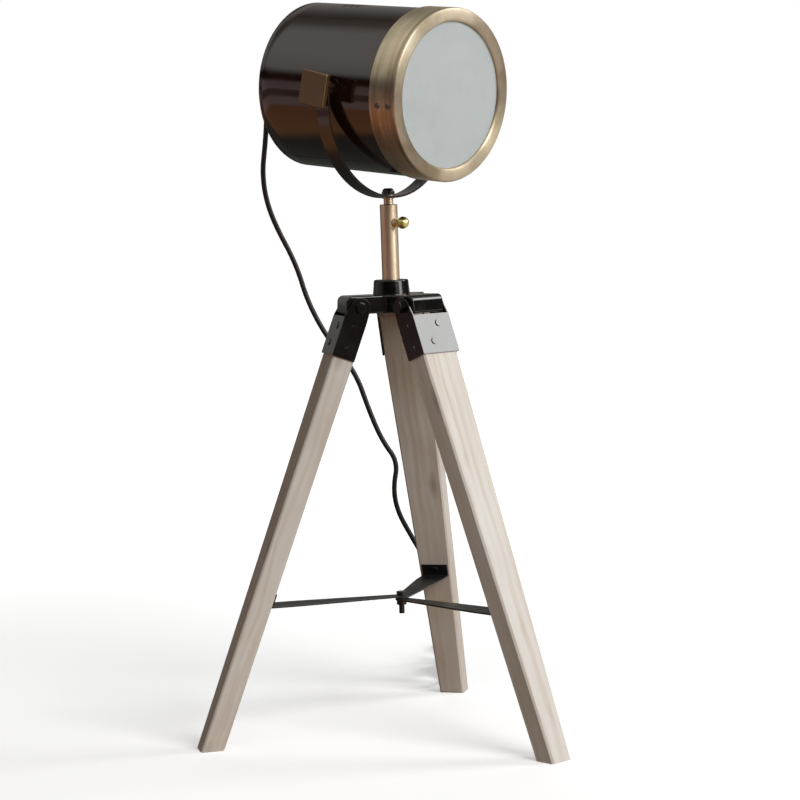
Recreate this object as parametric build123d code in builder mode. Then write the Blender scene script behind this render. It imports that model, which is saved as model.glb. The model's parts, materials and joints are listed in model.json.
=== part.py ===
from build123d import *
import math
import os

# Tabletop searchlight lamp on a three-legged wooden stand, in millimetres, +Z up.
# The origin is on the table, at the middle of the box round the lamp without its cord.
# The lamp shines towards -Y. Legs stand at -Y (front), +X+Y (rear right) and -X+Y (rear left).

os.makedirs("parts", exist_ok=True)

# ---------------------------------------------------------------- driving dimensions

FIT = 0.05  # radial clearance of a shaft or screw in its hole
SCREW_TAPER = 20.0  # slope of a screw head's side
RIVET_TAPER = 35.0

# Wooden legs
FOOT_RADIUS = 190.0  # post axis to the outer toe of a leg
LEG_THICKNESS = 19.5
LEG_FOOT_WIDTH = 23.4
LEG_TOP_WIDTH = 41.4
LEG_TAPER_STOP = 4.0  # below the bracket's lower edge, where the leg stops widening
LEG_UNDER_HUB = 2.5  # of the leg's level top below the hub
LEG_EDGE = 1.6
LEG_AZIMUTHS = {"front": -90.0, "rear_right": 30.0, "rear_left": 150.0}

# Hub casting that carries the legs
HUB_BOTTOM = 381.5
HUB_ARM_HEIGHT = 16.0
HUB_ARM_INSET = 1.7  # from a leg's side to the side of the arm that carries it
HUB_ARM_REACH = 46.5
HUB_ARM_RAKE = 1.0  # how far the end of an arm leans back at its top
HUB_ARM_NOSE = 5.5
HUB_ARM_HEEL = 2.0
COLLAR_BASE_RADIUS = 16.6
COLLAR_TOP_RADIUS = 15.4
COLLAR_HEIGHT = 13.1

# Leg brackets, channels of folded sheet
SHEET = 1.5
BRACKET_BELOW_HINGE = 47.14  # along the leg, from the hinge bolt to the lower edge
WEB_LENGTH = 36.0
EAR_RADIUS = 9.0
HINGE_RADIUS = 34.0  # post axis to the hinge bolt
HINGE_ABOVE_HUB_BOTTOM = 5.5
HINGE_INSET = 9.863  # from the leg's outer face to the hinge bolt
BOLT_RADIUS = 3.0
BOLT_HEAD_RADIUS = 5.2
BOLT_HEAD_HEIGHT = 3.2
NUT_FLATS = 10.0
NUT_HEIGHT = 5.0
WOOD_SCREW_RADIUS = 1.75
WOOD_SCREW_LENGTH = 12.0
WOOD_SCREW_HEAD_RADIUS = 3.2
WOOD_SCREW_HEAD_HEIGHT = 0.8
WEB_SCREWS = [(5.5, 27.0), (-5.5, 11.0)]  # across and along the web
RIVET_RADIUS = 2.4
RIVET_DOME = 0.9
CHEEK_RIVETS = [9.0, 29.0]  # along the bracket from its lower edge

# Spreader that ties the legs together
SPREADER_HEIGHT = 121.0
SPREADER_SHEET = 1.5
SPREADER_WIDTH_AT_LEG = 25.0
SPREADER_WIDTH_AT_CENTRE = 11.0
SPREADER_TAB = 13.0
SPREADER_BOLT_RADIUS = 2.5
SPREADER_BOLT_DROP = 12.0

# Post
TUBE_RADIUS = 7.9
TUBE_WALL = 1.2
TUBE_ABOVE_HUB_BOTTOM = 96.0
BUSH_LENGTH = 30.0
BOSS_RADIUS = 4.2
BOSS_REACH = 11.0  # post axis to the face of the screw boss
CLAMP_BELOW_TUBE_TOP = 16.7
CLAMP_BALL_RADIUS = 5.5
CLAMP_BALL_REACH = 17.4
CLAMP_SCREW_RADIUS = 2.0
CLAMP_PLAY = 0.3  # between the backed-off screw and the mast
LOCKNUT_FLATS = 22.0
LOCKNUT_HEIGHT = 4.0

# Mast that slides in the post and carries the yoke
MAST_RADIUS = 4.3
MAST_BELOW_CLAMP = 65.0
STUD_RADIUS = 2.95
WASHER_SHEET = 0.5
ACORN_FLATS = 10.5
ACORN_HEIGHT = 6.0

# Yoke, one bent strap
YOKE_ABOVE_TUBE = 5.5
YOKE_GAP = 5.35  # between the drum's side and the strap
YOKE_UNDER_DRUM = 22.1  # from the strap's underside to the level drum's lowest line
STRAP_SHEET = 2.0
STRAP_WIDTH = 14.0
YOKE_ABOVE_PIVOT = 10.5

# Lamp head
AIM_TURN = 3.6  # the head's heading from -Y towards +X
NOSE_DOWN = 6.6
DRUM_RADIUS = 73.65
DRUM_SHEET = 1.0
DRUM_REAR = -84.7  # ahead of the pivot
HEAD_FRONT = 79.1
BEZEL_WALL = 1.65
BEZEL_BAND = 29.2
BEZEL_LIP = 2.5
BEZEL_EDGE = 1.6
BEZEL_FACE = 12.25  # width of the bezel's front ring
LENS_THICKNESS = 3.0
GASKET_THICKNESS = 1.5
GASKET_WIDTH = 6.0
CAP_RECESS = 1.5
CAP_SHEET = 1.2
CAP_FLANGE = 9.0
VENT_WIDTH = 3.0
VENT_LENGTH = 16.0
VENT_COUNT = 3
VENT_PITCH = 8.0
VENT_ROW_PITCH = 22.4
VENT_BEHIND_PIVOT = 30.0
CAP_VENT_RING = 46.0
CAP_VENT_COUNT = 12
SEAM_BELOW = 8.2  # degrees below the pivot axis, seen along the lamp
SEAM_SCREW_INSET = 10.0  # from the band's rear edge
SEAM_RIVET_INSET = 22.0
SEAM_SCREW_RADIUS = 1.5
SEAM_HEAD_RADIUS = 2.6
SEAM_HEAD_HEIGHT = 0.8

# Lampholder and bulb
HOLDER_PLATE_RADIUS = 27.0
HOLDER_PLATE_SHEET = 2.0
HOLDER_RADIUS = 20.0
HOLDER_FLOOR = 10.0
HOLDER_WALL = 6.2
HOLDER_SCREW_RING = 22.0
HOLDER_SCREW_RADIUS = 1.5
BULB_CAP_RADIUS = 13.2
BULB_CAP_LENGTH = 25.0
BULB_RADIUS = 30.0
BULB_LENGTH = 104.0
BULB_WALL = 0.8
BULB_GAP = 1.0  # between the bulb's contact and the holder's floor
BULB_FLARE_ANGLE = 25.0  # degrees behind the globe's middle where the neck runs out

# Tilt pivot
PIVOT_SCREW_RADIUS = 3.0
PIVOT_BOSS_RADIUS = 7.0
PIVOT_BOSS_DEPTH = 8.0
PIVOT_PLAY = 0.3
KNOB_REACH = 12.0  # from the strap to the knob's outer face
KNOB_WIDTH = 30.0
KNOB_HEIGHT = 30.0
KNOB_DEPTH = 4.5
KNOB_CORNER = 2.0
KNOB_EDGE = 0.9
KNOB_LEAN = 14.0  # degrees, how far the plates are turned forwards from upright
KNOB_NECK_RADIUS = 8.0
KNOB_WASHER_RADIUS = 8.5
KNOB_WASHER_SHEET = 1.0

# Mains cord
CORD_RADIUS = 2.4
RELIEF_LENGTH = 26.0
RELIEF_FOOT_RADIUS = 6.5
RELIEF_TIP_RADIUS = 3.4
RELIEF_FLANGE_RADIUS = 9.0
RELIEF_FLANGE = 2.0

# ---------------------------------------------------------------- derived places

HINGE_HEIGHT = HUB_BOTTOM + HINGE_ABOVE_HUB_BOTTOM
HINGE_TO_TOE = math.hypot(FOOT_RADIUS - HINGE_RADIUS, HINGE_HEIGHT)
LEAN = math.acos(HINGE_INSET / HINGE_TO_TOE) - math.atan2(HINGE_HEIGHT, FOOT_RADIUS - HINGE_RADIUS)
HINGE_ALONG = math.sqrt(HINGE_TO_TOE**2 - HINGE_INSET**2)  # up the leg, from the toe
BRACKET_START = HINGE_ALONG - BRACKET_BELOW_HINGE
LEG_TAPER_LENGTH = BRACKET_START - LEG_TAPER_STOP
REAR_REACH = FOOT_RADIUS * math.sin(math.radians(30)) + LEG_FOOT_WIDTH / 2 * math.cos(math.radians(30))
POST_Y = (FOOT_RADIUS - REAR_REACH) / 2  # the post stands here, so that the origin is mid-footprint
POST = Vector(0, POST_Y, 0)
UP = Vector(0, 0, 1)

TUBE_TOP = HUB_BOTTOM + TUBE_ABOVE_HUB_BOTTOM
CLAMP_HEIGHT = TUBE_TOP - CLAMP_BELOW_TUBE_TOP
YOKE_BOTTOM = TUBE_TOP + YOKE_ABOVE_TUBE
YOKE_INNER = DRUM_RADIUS + YOKE_GAP
YOKE_OUTER = YOKE_INNER + STRAP_SHEET
PIVOT_HEIGHT = YOKE_BOTTOM + YOKE_UNDER_DRUM + DRUM_RADIUS

TURN = math.radians(AIM_TURN)
TILT = math.radians(NOSE_DOWN)
HEADING = Vector(math.sin(TURN), -math.cos(TURN), 0)  # level, the way the lamp faces
ACROSS = Vector(math.cos(TURN), math.sin(TURN), 0)  # the tilt axis
BEAM = HEADING * math.cos(TILT) - UP * math.sin(TILT)  # the drum's own axis, forwards
LIFT = BEAM.cross(ACROSS)  # square to the beam, upwards
PIVOT = POST + UP * PIVOT_HEIGHT

HUB_TOP = HUB_BOTTOM + HUB_ARM_HEIGHT
HUB_ARM_WIDTH = LEG_TOP_WIDTH - 2 * HUB_ARM_INSET
COLLAR_TOP = HUB_TOP + COLLAR_HEIGHT
TUBE_BORE = TUBE_RADIUS - TUBE_WALL
TUBE_BOTTOM = HUB_BOTTOM - LOCKNUT_HEIGHT
LEG_CUT = HUB_BOTTOM - LEG_UNDER_HUB
YOKE_CENTRE = YOKE_BOTTOM + YOKE_OUTER
STRAP_TOP = YOKE_BOTTOM + STRAP_SHEET
KNOB_FACE = YOKE_OUTER + KNOB_REACH
BEZEL_BORE = DRUM_RADIUS + FIT
BEZEL_RADIUS = BEZEL_BORE + BEZEL_WALL
LENS_OPENING_RADIUS = BEZEL_RADIUS - BEZEL_FACE
BEZEL_REAR = HEAD_FRONT - BEZEL_BAND
LENS_BACK = HEAD_FRONT - BEZEL_LIP - LENS_THICKNESS
GASKET_BACK = LENS_BACK - GASKET_THICKNESS
CAP_FACE = DRUM_REAR + CAP_RECESS
CAP_RADIUS = DRUM_RADIUS - DRUM_SHEET - FIT


def level(height):
    """Level plane at a height, centred on the post."""
    return Plane(origin=POST + UP * height)


def station(ahead):
    """Plane across the drum, this far ahead of the pivot, with its normal along the beam."""
    return Plane(origin=PIVOT + BEAM * ahead, x_dir=ACROSS, z_dir=BEAM)


def flank(side, reach):
    """Plane across the tilt axis, this far out on one side, facing outwards, local Y up."""
    return Plane(origin=PIVOT + ACROSS * side * reach, x_dir=HEADING * -side, z_dir=ACROSS * side)


def out_of(azimuth):
    """Level unit vector from the post towards a leg."""
    return Vector(math.cos(math.radians(azimuth)), math.sin(math.radians(azimuth)), 0)


def rim(angle, ahead, reach=0.0):
    """Plane facing outwards from the drum's axis, at an angle round it from the +X side upwards."""
    outward = ACROSS * math.cos(math.radians(angle)) + LIFT * math.sin(math.radians(angle))
    return Plane(origin=PIVOT + BEAM * ahead + outward * reach, x_dir=BEAM, z_dir=outward)


def leg_face(azimuth, inset=0.0):
    """Plane of a leg's outer face: X across, Y up along the leg from the toe, Z outwards."""
    out = out_of(azimuth)
    normal = out * math.cos(LEAN) + UP * math.sin(LEAN)
    return Plane(origin=POST + out * FOOT_RADIUS - normal * inset, x_dir=UP.cross(out), z_dir=normal)


def leg_side(azimuth):
    """Upright plane through a leg's middle: X is the distance from the post, Y the height."""
    out = out_of(azimuth)
    return Plane(origin=POST, x_dir=out, z_dir=out.cross(UP))


def on_side(along, outward):
    """Radius and height of a point given along the leg and outwards from its outer face."""
    radius = FOOT_RADIUS - along * math.sin(LEAN) + outward * math.cos(LEAN)
    height = along * math.cos(LEAN) + outward * math.sin(LEAN)
    return (radius, height)


def save(part, name):
    """Label a finished piece and write its file."""
    part.label = name
    export_step(part, f"parts/{name}.step")


# ---------------------------------------------------------------- hub

HUB_EDGE = 1.5
HUB_CORNER = 5.0

with BuildPart() as hub:
    for azimuth in LEG_AZIMUTHS.values():
        with BuildSketch(leg_side(azimuth)):
            Polygon(
                (0, HUB_BOTTOM),
                (HUB_ARM_REACH, HUB_BOTTOM),
                (HUB_ARM_REACH - HUB_ARM_RAKE, HUB_TOP),
                (0, HUB_TOP),
                align=None,
            )
        extrude(amount=HUB_ARM_WIDTH / 2, both=True)
    upright_edges = hub.edges().filter_by(Axis.Z)
    fillet(upright_edges.sort_by_distance(level(HUB_BOTTOM + HUB_ARM_HEIGHT / 2).origin)[:3], HUB_CORNER)
    for azimuth in LEG_AZIMUTHS.values():
        end_face = hub.faces().sort_by(Axis(POST, out_of(azimuth)))[-1]
        fillet(end_face.edges().sort_by(Axis.Z)[-1:], HUB_ARM_NOSE)
        end_face = hub.faces().sort_by(Axis(POST, out_of(azimuth)))[-1]
        fillet(end_face.edges().sort_by(Axis.Z)[:1], HUB_ARM_HEEL)
    fillet(hub.edges().group_by(Axis.Z)[-1], HUB_EDGE)
    with BuildSketch(level(HUB_TOP)):
        Circle(COLLAR_BASE_RADIUS)
    with BuildSketch(level(COLLAR_TOP)):
        Circle(COLLAR_TOP_RADIUS)
    loft()
    fillet(hub.edges().group_by(Axis.Z)[-1], HUB_EDGE)
    with BuildSketch(level(HUB_BOTTOM)):
        Circle(TUBE_RADIUS + FIT)
    extrude(amount=HUB_ARM_HEIGHT + COLLAR_HEIGHT, mode=Mode.SUBTRACT)
    for azimuth in LEG_AZIMUTHS.values():
        with BuildSketch(leg_side(azimuth)):
            with Locations((HINGE_RADIUS, HINGE_HEIGHT)):
                Circle(BOLT_RADIUS + FIT)
        extrude(amount=HUB_ARM_WIDTH / 2, both=True, mode=Mode.SUBTRACT)
save(hub.part, "hub")

# ---------------------------------------------------------------- legs and their brackets

# The spreader's arms lie on one another at the middle, so each one meets its leg a sheet higher.
ARM_HEIGHTS = {name: SPREADER_HEIGHT + layer * SPREADER_SHEET for layer, name in enumerate(LEG_AZIMUTHS)}


def arm_spot(name):
    """Point on a leg's inner face, across and along it, where its spreader arm is screwed on."""
    bend = (ARM_HEIGHTS[name] + LEG_THICKNESS * math.sin(LEAN)) / math.cos(LEAN)
    return (0, bend + SPREADER_TAB / 2 + SPREADER_SHEET)


LEG_STOCK = HINGE_ALONG + WEB_LENGTH  # longer than the leg, before its level cuts
CHEEK_HALF = LEG_TOP_WIDTH / 2 + FIT  # inside of a bracket's cheek
CHEEK_OUT = CHEEK_HALF + SHEET
FOOT_ROUND = 3.0

for name, azimuth in LEG_AZIMUTHS.items():
    face = leg_face(azimuth)

    with BuildPart() as leg:
        with BuildSketch(face):
            with BuildLine():
                Polyline(
                    (-LEG_FOOT_WIDTH / 2, 0),
                    (LEG_FOOT_WIDTH / 2, 0),
                    (LEG_TOP_WIDTH / 2, LEG_TAPER_LENGTH),
                    (LEG_TOP_WIDTH / 2, LEG_STOCK),
                    (-LEG_TOP_WIDTH / 2, LEG_STOCK),
                    (-LEG_TOP_WIDTH / 2, LEG_TAPER_LENGTH),
                    close=True,
                )
            make_face()
        extrude(amount=-LEG_THICKNESS)
        long_edges = leg.edges().group_by(SortBy.LENGTH)[-1]
        chamfer(long_edges, LEG_EDGE)
        split(bisect_by=Plane.XY, keep=Keep.TOP)
        split(bisect_by=Plane.XY.offset(LEG_CUT), keep=Keep.BOTTOM)
        inner_toe = leg.edges().group_by(Axis.Z)[0].sort_by(Axis(POST, out_of(azimuth)))[0]
        fillet(inner_toe, FOOT_ROUND)
        with BuildSketch(face):
            with Locations(*[(across, BRACKET_START + along) for across, along in WEB_SCREWS]):
                Circle(WOOD_SCREW_RADIUS)
        extrude(amount=-WOOD_SCREW_LENGTH, mode=Mode.SUBTRACT)
        with BuildSketch(leg_face(azimuth, LEG_THICKNESS)):
            with Locations(arm_spot(name)):
                Circle(WOOD_SCREW_RADIUS)
        extrude(amount=WOOD_SCREW_LENGTH, mode=Mode.SUBTRACT)
    save(leg.part, f"leg_{name}")

    with BuildPart() as bracket:
        with BuildSketch(leg_side(azimuth)):
            Polygon(
                on_side(BRACKET_START, -LEG_THICKNESS),
                on_side(BRACKET_START, SHEET),
                on_side(BRACKET_START + WEB_LENGTH, SHEET),
                on_side(BRACKET_START + WEB_LENGTH, -LEG_THICKNESS),
                align=None,
            )
            with Locations((HINGE_RADIUS, HINGE_HEIGHT)):
                Circle(EAR_RADIUS)
            make_hull()
        extrude(amount=CHEEK_OUT, both=True)
        with BuildSketch(leg_side(azimuth)):
            Polygon(
                on_side(BRACKET_START - WEB_LENGTH, 0),
                on_side(BRACKET_START + WEB_LENGTH, 0),
                on_side(BRACKET_START + WEB_LENGTH, WEB_LENGTH),
                on_side(BRACKET_START + 2 * WEB_LENGTH, WEB_LENGTH),
                on_side(BRACKET_START + 2 * WEB_LENGTH, -2 * WEB_LENGTH),
                on_side(BRACKET_START - WEB_LENGTH, -2 * WEB_LENGTH),
                align=None,
            )
        extrude(amount=CHEEK_HALF, both=True, mode=Mode.SUBTRACT)
        with BuildSketch(leg_side(azimuth)):
            with Locations((HINGE_RADIUS, HINGE_HEIGHT)):
                Circle(BOLT_RADIUS + FIT)
        extrude(amount=CHEEK_OUT, both=True, mode=Mode.SUBTRACT)
        with BuildSketch(face):
            with Locations(*[(across, BRACKET_START + along) for across, along in WEB_SCREWS]):
                Circle(WOOD_SCREW_RADIUS + FIT)
        extrude(amount=SHEET, mode=Mode.SUBTRACT)
    save(bracket.part, f"leg_bracket_{name}")

# ---------------------------------------------------------------- fasteners of legs and brackets

SPACER_GAP = CHEEK_HALF - HUB_ARM_WIDTH / 2
SPACER_RADIUS = 6.5

with BuildPart() as hinge_spacers:
    for azimuth in LEG_AZIMUTHS.values():
        for side in (1, -1):
            with BuildSketch(leg_side(azimuth).offset(side * HUB_ARM_WIDTH / 2)):
                with Locations((HINGE_RADIUS, HINGE_HEIGHT)):
                    Circle(SPACER_RADIUS)
                    Circle(BOLT_RADIUS + FIT, mode=Mode.SUBTRACT)
            extrude(amount=side * SPACER_GAP)
save(hinge_spacers.part, "hinge_spacers")

with BuildPart() as hinge_bolts:
    for azimuth in LEG_AZIMUTHS.values():
        with BuildSketch(leg_side(azimuth).offset(-CHEEK_OUT)):
            with Locations((HINGE_RADIUS, HINGE_HEIGHT)):
                Circle(BOLT_HEAD_RADIUS)
        extrude(amount=-BOLT_HEAD_HEIGHT, taper=SCREW_TAPER)
        with BuildSketch(leg_side(azimuth).offset(-CHEEK_OUT)):
            with Locations((HINGE_RADIUS, HINGE_HEIGHT)):
                Circle(BOLT_RADIUS)
        extrude(amount=2 * CHEEK_OUT + NUT_HEIGHT)
save(hinge_bolts.part, "hinge_bolts")

with BuildPart() as hinge_nuts:
    for azimuth in LEG_AZIMUTHS.values():
        with BuildSketch(leg_side(azimuth).offset(CHEEK_OUT)):
            with Locations((HINGE_RADIUS, HINGE_HEIGHT)):
                RegularPolygon(NUT_FLATS / 2, 6, major_radius=False)
                Circle(BOLT_RADIUS + FIT, mode=Mode.SUBTRACT)
        extrude(amount=NUT_HEIGHT)
save(hinge_nuts.part, "hinge_nuts")

with BuildPart() as bracket_screws:
    for azimuth in LEG_AZIMUTHS.values():
        with BuildSketch(leg_face(azimuth, -SHEET)):
            with Locations(*[(across, BRACKET_START + along) for across, along in WEB_SCREWS]):
                Circle(WOOD_SCREW_HEAD_RADIUS)
        extrude(amount=WOOD_SCREW_HEAD_HEIGHT, taper=SCREW_TAPER)
        with BuildSketch(leg_face(azimuth, -SHEET)):
            with Locations(*[(across, BRACKET_START + along) for across, along in WEB_SCREWS]):
                Circle(WOOD_SCREW_RADIUS)
        extrude(amount=-WOOD_SCREW_LENGTH)
save(bracket_screws.part, "bracket_screws")

with BuildPart() as cheek_rivets:
    for azimuth in LEG_AZIMUTHS.values():
        for side in (1, -1):
            with BuildSketch(leg_side(azimuth).offset(side * CHEEK_OUT)):
                with Locations(*[on_side(BRACKET_START + along, -LEG_THICKNESS / 2)
                                 for along in CHEEK_RIVETS]):
                    Circle(RIVET_RADIUS)
            extrude(amount=side * RIVET_DOME, taper=RIVET_TAPER)
save(cheek_rivets.part, "cheek_rivets")

# ---------------------------------------------------------------- spreader

SPREADER_CENTRE_ROUND = SPREADER_WIDTH_AT_CENTRE / 2
BOLT_HEAD_SIDE = 8.0
SPREADER_HEAD_HEIGHT = 3.5
SPREADER_NUT_HEIGHT = 4.0

for name, azimuth in LEG_AZIMUTHS.items():
    underside = ARM_HEIGHTS[name]
    inner_start = on_side(underside / math.cos(LEAN), 0)[0] - LEG_THICKNESS / math.cos(LEAN)
    sheet_across = SPREADER_SHEET / math.cos(LEAN)
    tab_rise = SPREADER_TAB * math.cos(LEAN)
    tab_run = SPREADER_TAB * math.sin(LEAN)

    with BuildPart() as arm:
        with BuildSketch(leg_side(azimuth)):
            Polygon(
                (-SPREADER_CENTRE_ROUND, underside),
                (inner_start, underside),
                (inner_start - tab_run, underside + tab_rise),
                (inner_start - tab_run - sheet_across, underside + tab_rise),
                (inner_start - sheet_across - SPREADER_SHEET * math.tan(LEAN), underside + SPREADER_SHEET),
                (-SPREADER_CENTRE_ROUND, underside + SPREADER_SHEET),
                align=None,
            )
        extrude(amount=SPREADER_WIDTH_AT_LEG / 2, both=True)
        with BuildSketch(Plane(origin=POST + UP * underside, x_dir=out_of(azimuth), z_dir=UP)):
            Circle(SPREADER_CENTRE_ROUND)
            with Locations((inner_start, 0)):
                Rectangle(4 * SPREADER_TAB, SPREADER_WIDTH_AT_LEG)
            make_hull()
        extrude(amount=SPREADER_TAB + SPREADER_SHEET, both=True, mode=Mode.INTERSECT)
        with BuildSketch(level(underside)):
            Circle(SPREADER_BOLT_RADIUS + FIT)
        extrude(amount=SPREADER_SHEET, mode=Mode.SUBTRACT)
        with BuildSketch(leg_face(azimuth, LEG_THICKNESS)):
            with Locations(arm_spot(name)):
                Circle(WOOD_SCREW_RADIUS + FIT)
        extrude(amount=-2 * SPREADER_SHEET, mode=Mode.SUBTRACT)
    save(arm.part, f"spreader_arm_{name}")

SPREADER_TOP = SPREADER_HEIGHT + len(LEG_AZIMUTHS) * SPREADER_SHEET

with BuildPart() as spreader_screws:
    for name, azimuth in LEG_AZIMUTHS.items():
        with BuildSketch(leg_face(azimuth, LEG_THICKNESS + SPREADER_SHEET)):
            with Locations(arm_spot(name)):
                Circle(WOOD_SCREW_HEAD_RADIUS)
        extrude(amount=-WOOD_SCREW_HEAD_HEIGHT, taper=SCREW_TAPER)
        with BuildSketch(leg_face(azimuth, LEG_THICKNESS + SPREADER_SHEET)):
            with Locations(arm_spot(name)):
                Circle(WOOD_SCREW_RADIUS)
        extrude(amount=WOOD_SCREW_LENGTH)
save(spreader_screws.part, "spreader_screws")

with BuildPart() as spreader_bolt:
    with BuildSketch(level(SPREADER_TOP)):
        RegularPolygon(BOLT_HEAD_SIDE / 2, 6, major_radius=False)
    extrude(amount=SPREADER_HEAD_HEIGHT)
    with BuildSketch(level(SPREADER_TOP)):
        Circle(SPREADER_BOLT_RADIUS)
    extrude(amount=-(SPREADER_TOP - SPREADER_HEIGHT + SPREADER_BOLT_DROP))
save(spreader_bolt.part, "spreader_bolt")

with BuildPart() as spreader_nut:
    with BuildSketch(level(SPREADER_HEIGHT)):
        RegularPolygon(BOLT_HEAD_SIDE / 2, 6, major_radius=False)
        Circle(SPREADER_BOLT_RADIUS + FIT, mode=Mode.SUBTRACT)
    extrude(amount=-SPREADER_NUT_HEIGHT)
save(spreader_nut.part, "spreader_nut")

# ---------------------------------------------------------------- post

CLAMP_AXIS = Plane(origin=POST + UP * CLAMP_HEIGHT, x_dir=(1, 0, 0), z_dir=(0, -1, 0))
TUBE_EDGE = 0.5

with BuildPart() as post_tube:
    with BuildSketch(level(TUBE_BOTTOM)):
        Circle(TUBE_RADIUS)
    extrude(amount=TUBE_TOP - TUBE_BOTTOM)
    chamfer(post_tube.edges().group_by(Axis.Z)[-1], TUBE_EDGE)
    with BuildSketch(CLAMP_AXIS):
        Circle(BOSS_RADIUS)
    extrude(amount=BOSS_REACH)
    with BuildSketch(level(TUBE_BOTTOM)):
        Circle(TUBE_BORE)
    extrude(amount=TUBE_TOP - TUBE_BOTTOM, mode=Mode.SUBTRACT)
    with BuildSketch(CLAMP_AXIS):
        Circle(CLAMP_SCREW_RADIUS + FIT)
    extrude(amount=BOSS_REACH, mode=Mode.SUBTRACT)
save(post_tube.part, "post_tube")

with BuildPart() as post_bush:
    with BuildSketch(level(TUBE_TOP - BUSH_LENGTH)):
        Circle(TUBE_BORE - FIT)
        Circle(MAST_RADIUS + FIT, mode=Mode.SUBTRACT)
    extrude(amount=BUSH_LENGTH)
    with BuildSketch(CLAMP_AXIS):
        Circle(CLAMP_SCREW_RADIUS + FIT)
    extrude(amount=TUBE_BORE, mode=Mode.SUBTRACT)
save(post_bush.part, "post_bush")

with BuildPart() as post_locknut:
    with BuildSketch(level(TUBE_BOTTOM)):
        RegularPolygon(LOCKNUT_FLATS / 2, 6, major_radius=False)
        Circle(TUBE_RADIUS + FIT, mode=Mode.SUBTRACT)
    extrude(amount=LOCKNUT_HEIGHT)
save(post_locknut.part, "post_locknut")

CLAMP_TIP = MAST_RADIUS + CLAMP_PLAY
CLAMP_SEAT_RADIUS = 3.0

with BuildPart() as clamp_screw:
    with BuildSketch(CLAMP_AXIS.offset(CLAMP_TIP)):
        Circle(CLAMP_SCREW_RADIUS)
    extrude(amount=CLAMP_BALL_REACH - CLAMP_TIP)
    with BuildSketch(CLAMP_AXIS.offset(BOSS_REACH + FIT)):
        Circle(CLAMP_SEAT_RADIUS)
    extrude(amount=CLAMP_BALL_REACH - BOSS_REACH)
    with Locations(CLAMP_AXIS.offset(CLAMP_BALL_REACH).location):
        Sphere(CLAMP_BALL_RADIUS)
save(clamp_screw.part, "clamp_screw")

# ---------------------------------------------------------------- mast and yoke

MAST_BOTTOM = CLAMP_HEIGHT - MAST_BELOW_CLAMP
SHOULDER = YOKE_BOTTOM - WASHER_SHEET
WASHER_LIFT = 0.3  # the upper washer bridges the strap's curve
ACORN_SEAT = STRAP_TOP + WASHER_LIFT + WASHER_SHEET
ACORN_BORE_DEPTH = 4.0
WASHER_RADIUS = 5.6

with BuildPart() as mast:
    with BuildSketch(level(MAST_BOTTOM)):
        Circle(MAST_RADIUS)
    extrude(amount=SHOULDER - MAST_BOTTOM)
    with BuildSketch(level(SHOULDER)):
        Circle(STUD_RADIUS)
    extrude(amount=ACORN_SEAT + ACORN_BORE_DEPTH - SHOULDER)
save(mast.part, "mast")

with BuildPart() as yoke_washers:
    for underside in (SHOULDER, STRAP_TOP + WASHER_LIFT):
        with BuildSketch(level(underside)):
            Circle(WASHER_RADIUS)
            Circle(STUD_RADIUS + FIT, mode=Mode.SUBTRACT)
        extrude(amount=WASHER_SHEET)
save(yoke_washers.part, "yoke_washers")

with BuildPart() as acorn_nut:
    with BuildSketch(level(ACORN_SEAT)):
        RegularPolygon(ACORN_FLATS / 2, 6, major_radius=False)
    extrude(amount=ACORN_HEIGHT / 2)
    with BuildSketch(level(ACORN_SEAT + ACORN_HEIGHT / 2)):
        Circle(ACORN_FLATS / 2)
    extrude(amount=ACORN_HEIGHT / 2)
    fillet(acorn_nut.edges().group_by(Axis.Z)[-1], ACORN_HEIGHT / 2 - FIT)
    with BuildSketch(level(ACORN_SEAT)):
        Circle(STUD_RADIUS + FIT)
    extrude(amount=ACORN_BORE_DEPTH, mode=Mode.SUBTRACT)
save(acorn_nut.part, "acorn_nut")

YOKE_PLANE = Plane(origin=POST, x_dir=ACROSS, z_dir=HEADING)
YOKE_TOP = PIVOT_HEIGHT + YOKE_ABOVE_PIVOT

with BuildPart() as yoke:
    with BuildSketch(YOKE_PLANE):
        with Locations((0, YOKE_CENTRE)):
            Circle(YOKE_OUTER)
            Rectangle(2 * YOKE_OUTER, YOKE_TOP - YOKE_CENTRE, align=(Align.CENTER, Align.MIN))
            Circle(YOKE_INNER, mode=Mode.SUBTRACT)
            Rectangle(2 * YOKE_INNER, 2 * YOKE_OUTER, align=(Align.CENTER, Align.MIN), mode=Mode.SUBTRACT)
    extrude(amount=STRAP_WIDTH / 2, both=True)
    top_faces = yoke.faces().group_by(Axis.Z)[-1]
    fillet(top_faces.edges().filter_by(Axis(POST, ACROSS)), STRAP_WIDTH / 2 - FIT)
    with BuildSketch(flank(1, 0)):
        Circle(PIVOT_SCREW_RADIUS + FIT)
    extrude(amount=YOKE_OUTER, both=True, mode=Mode.SUBTRACT)
    with BuildSketch(level(YOKE_BOTTOM)):
        Circle(STUD_RADIUS + FIT)
    extrude(amount=2 * STRAP_SHEET, both=True, mode=Mode.SUBTRACT)
save(yoke.part, "yoke")

# ---------------------------------------------------------------- drum

PIVOT_HOLE = PIVOT_SCREW_RADIUS + PIVOT_PLAY
SEAM_SIDES = [180 + SEAM_BELOW, -SEAM_BELOW]
SEAM_SCREW_AHEAD = BEZEL_REAR + SEAM_SCREW_INSET

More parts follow.
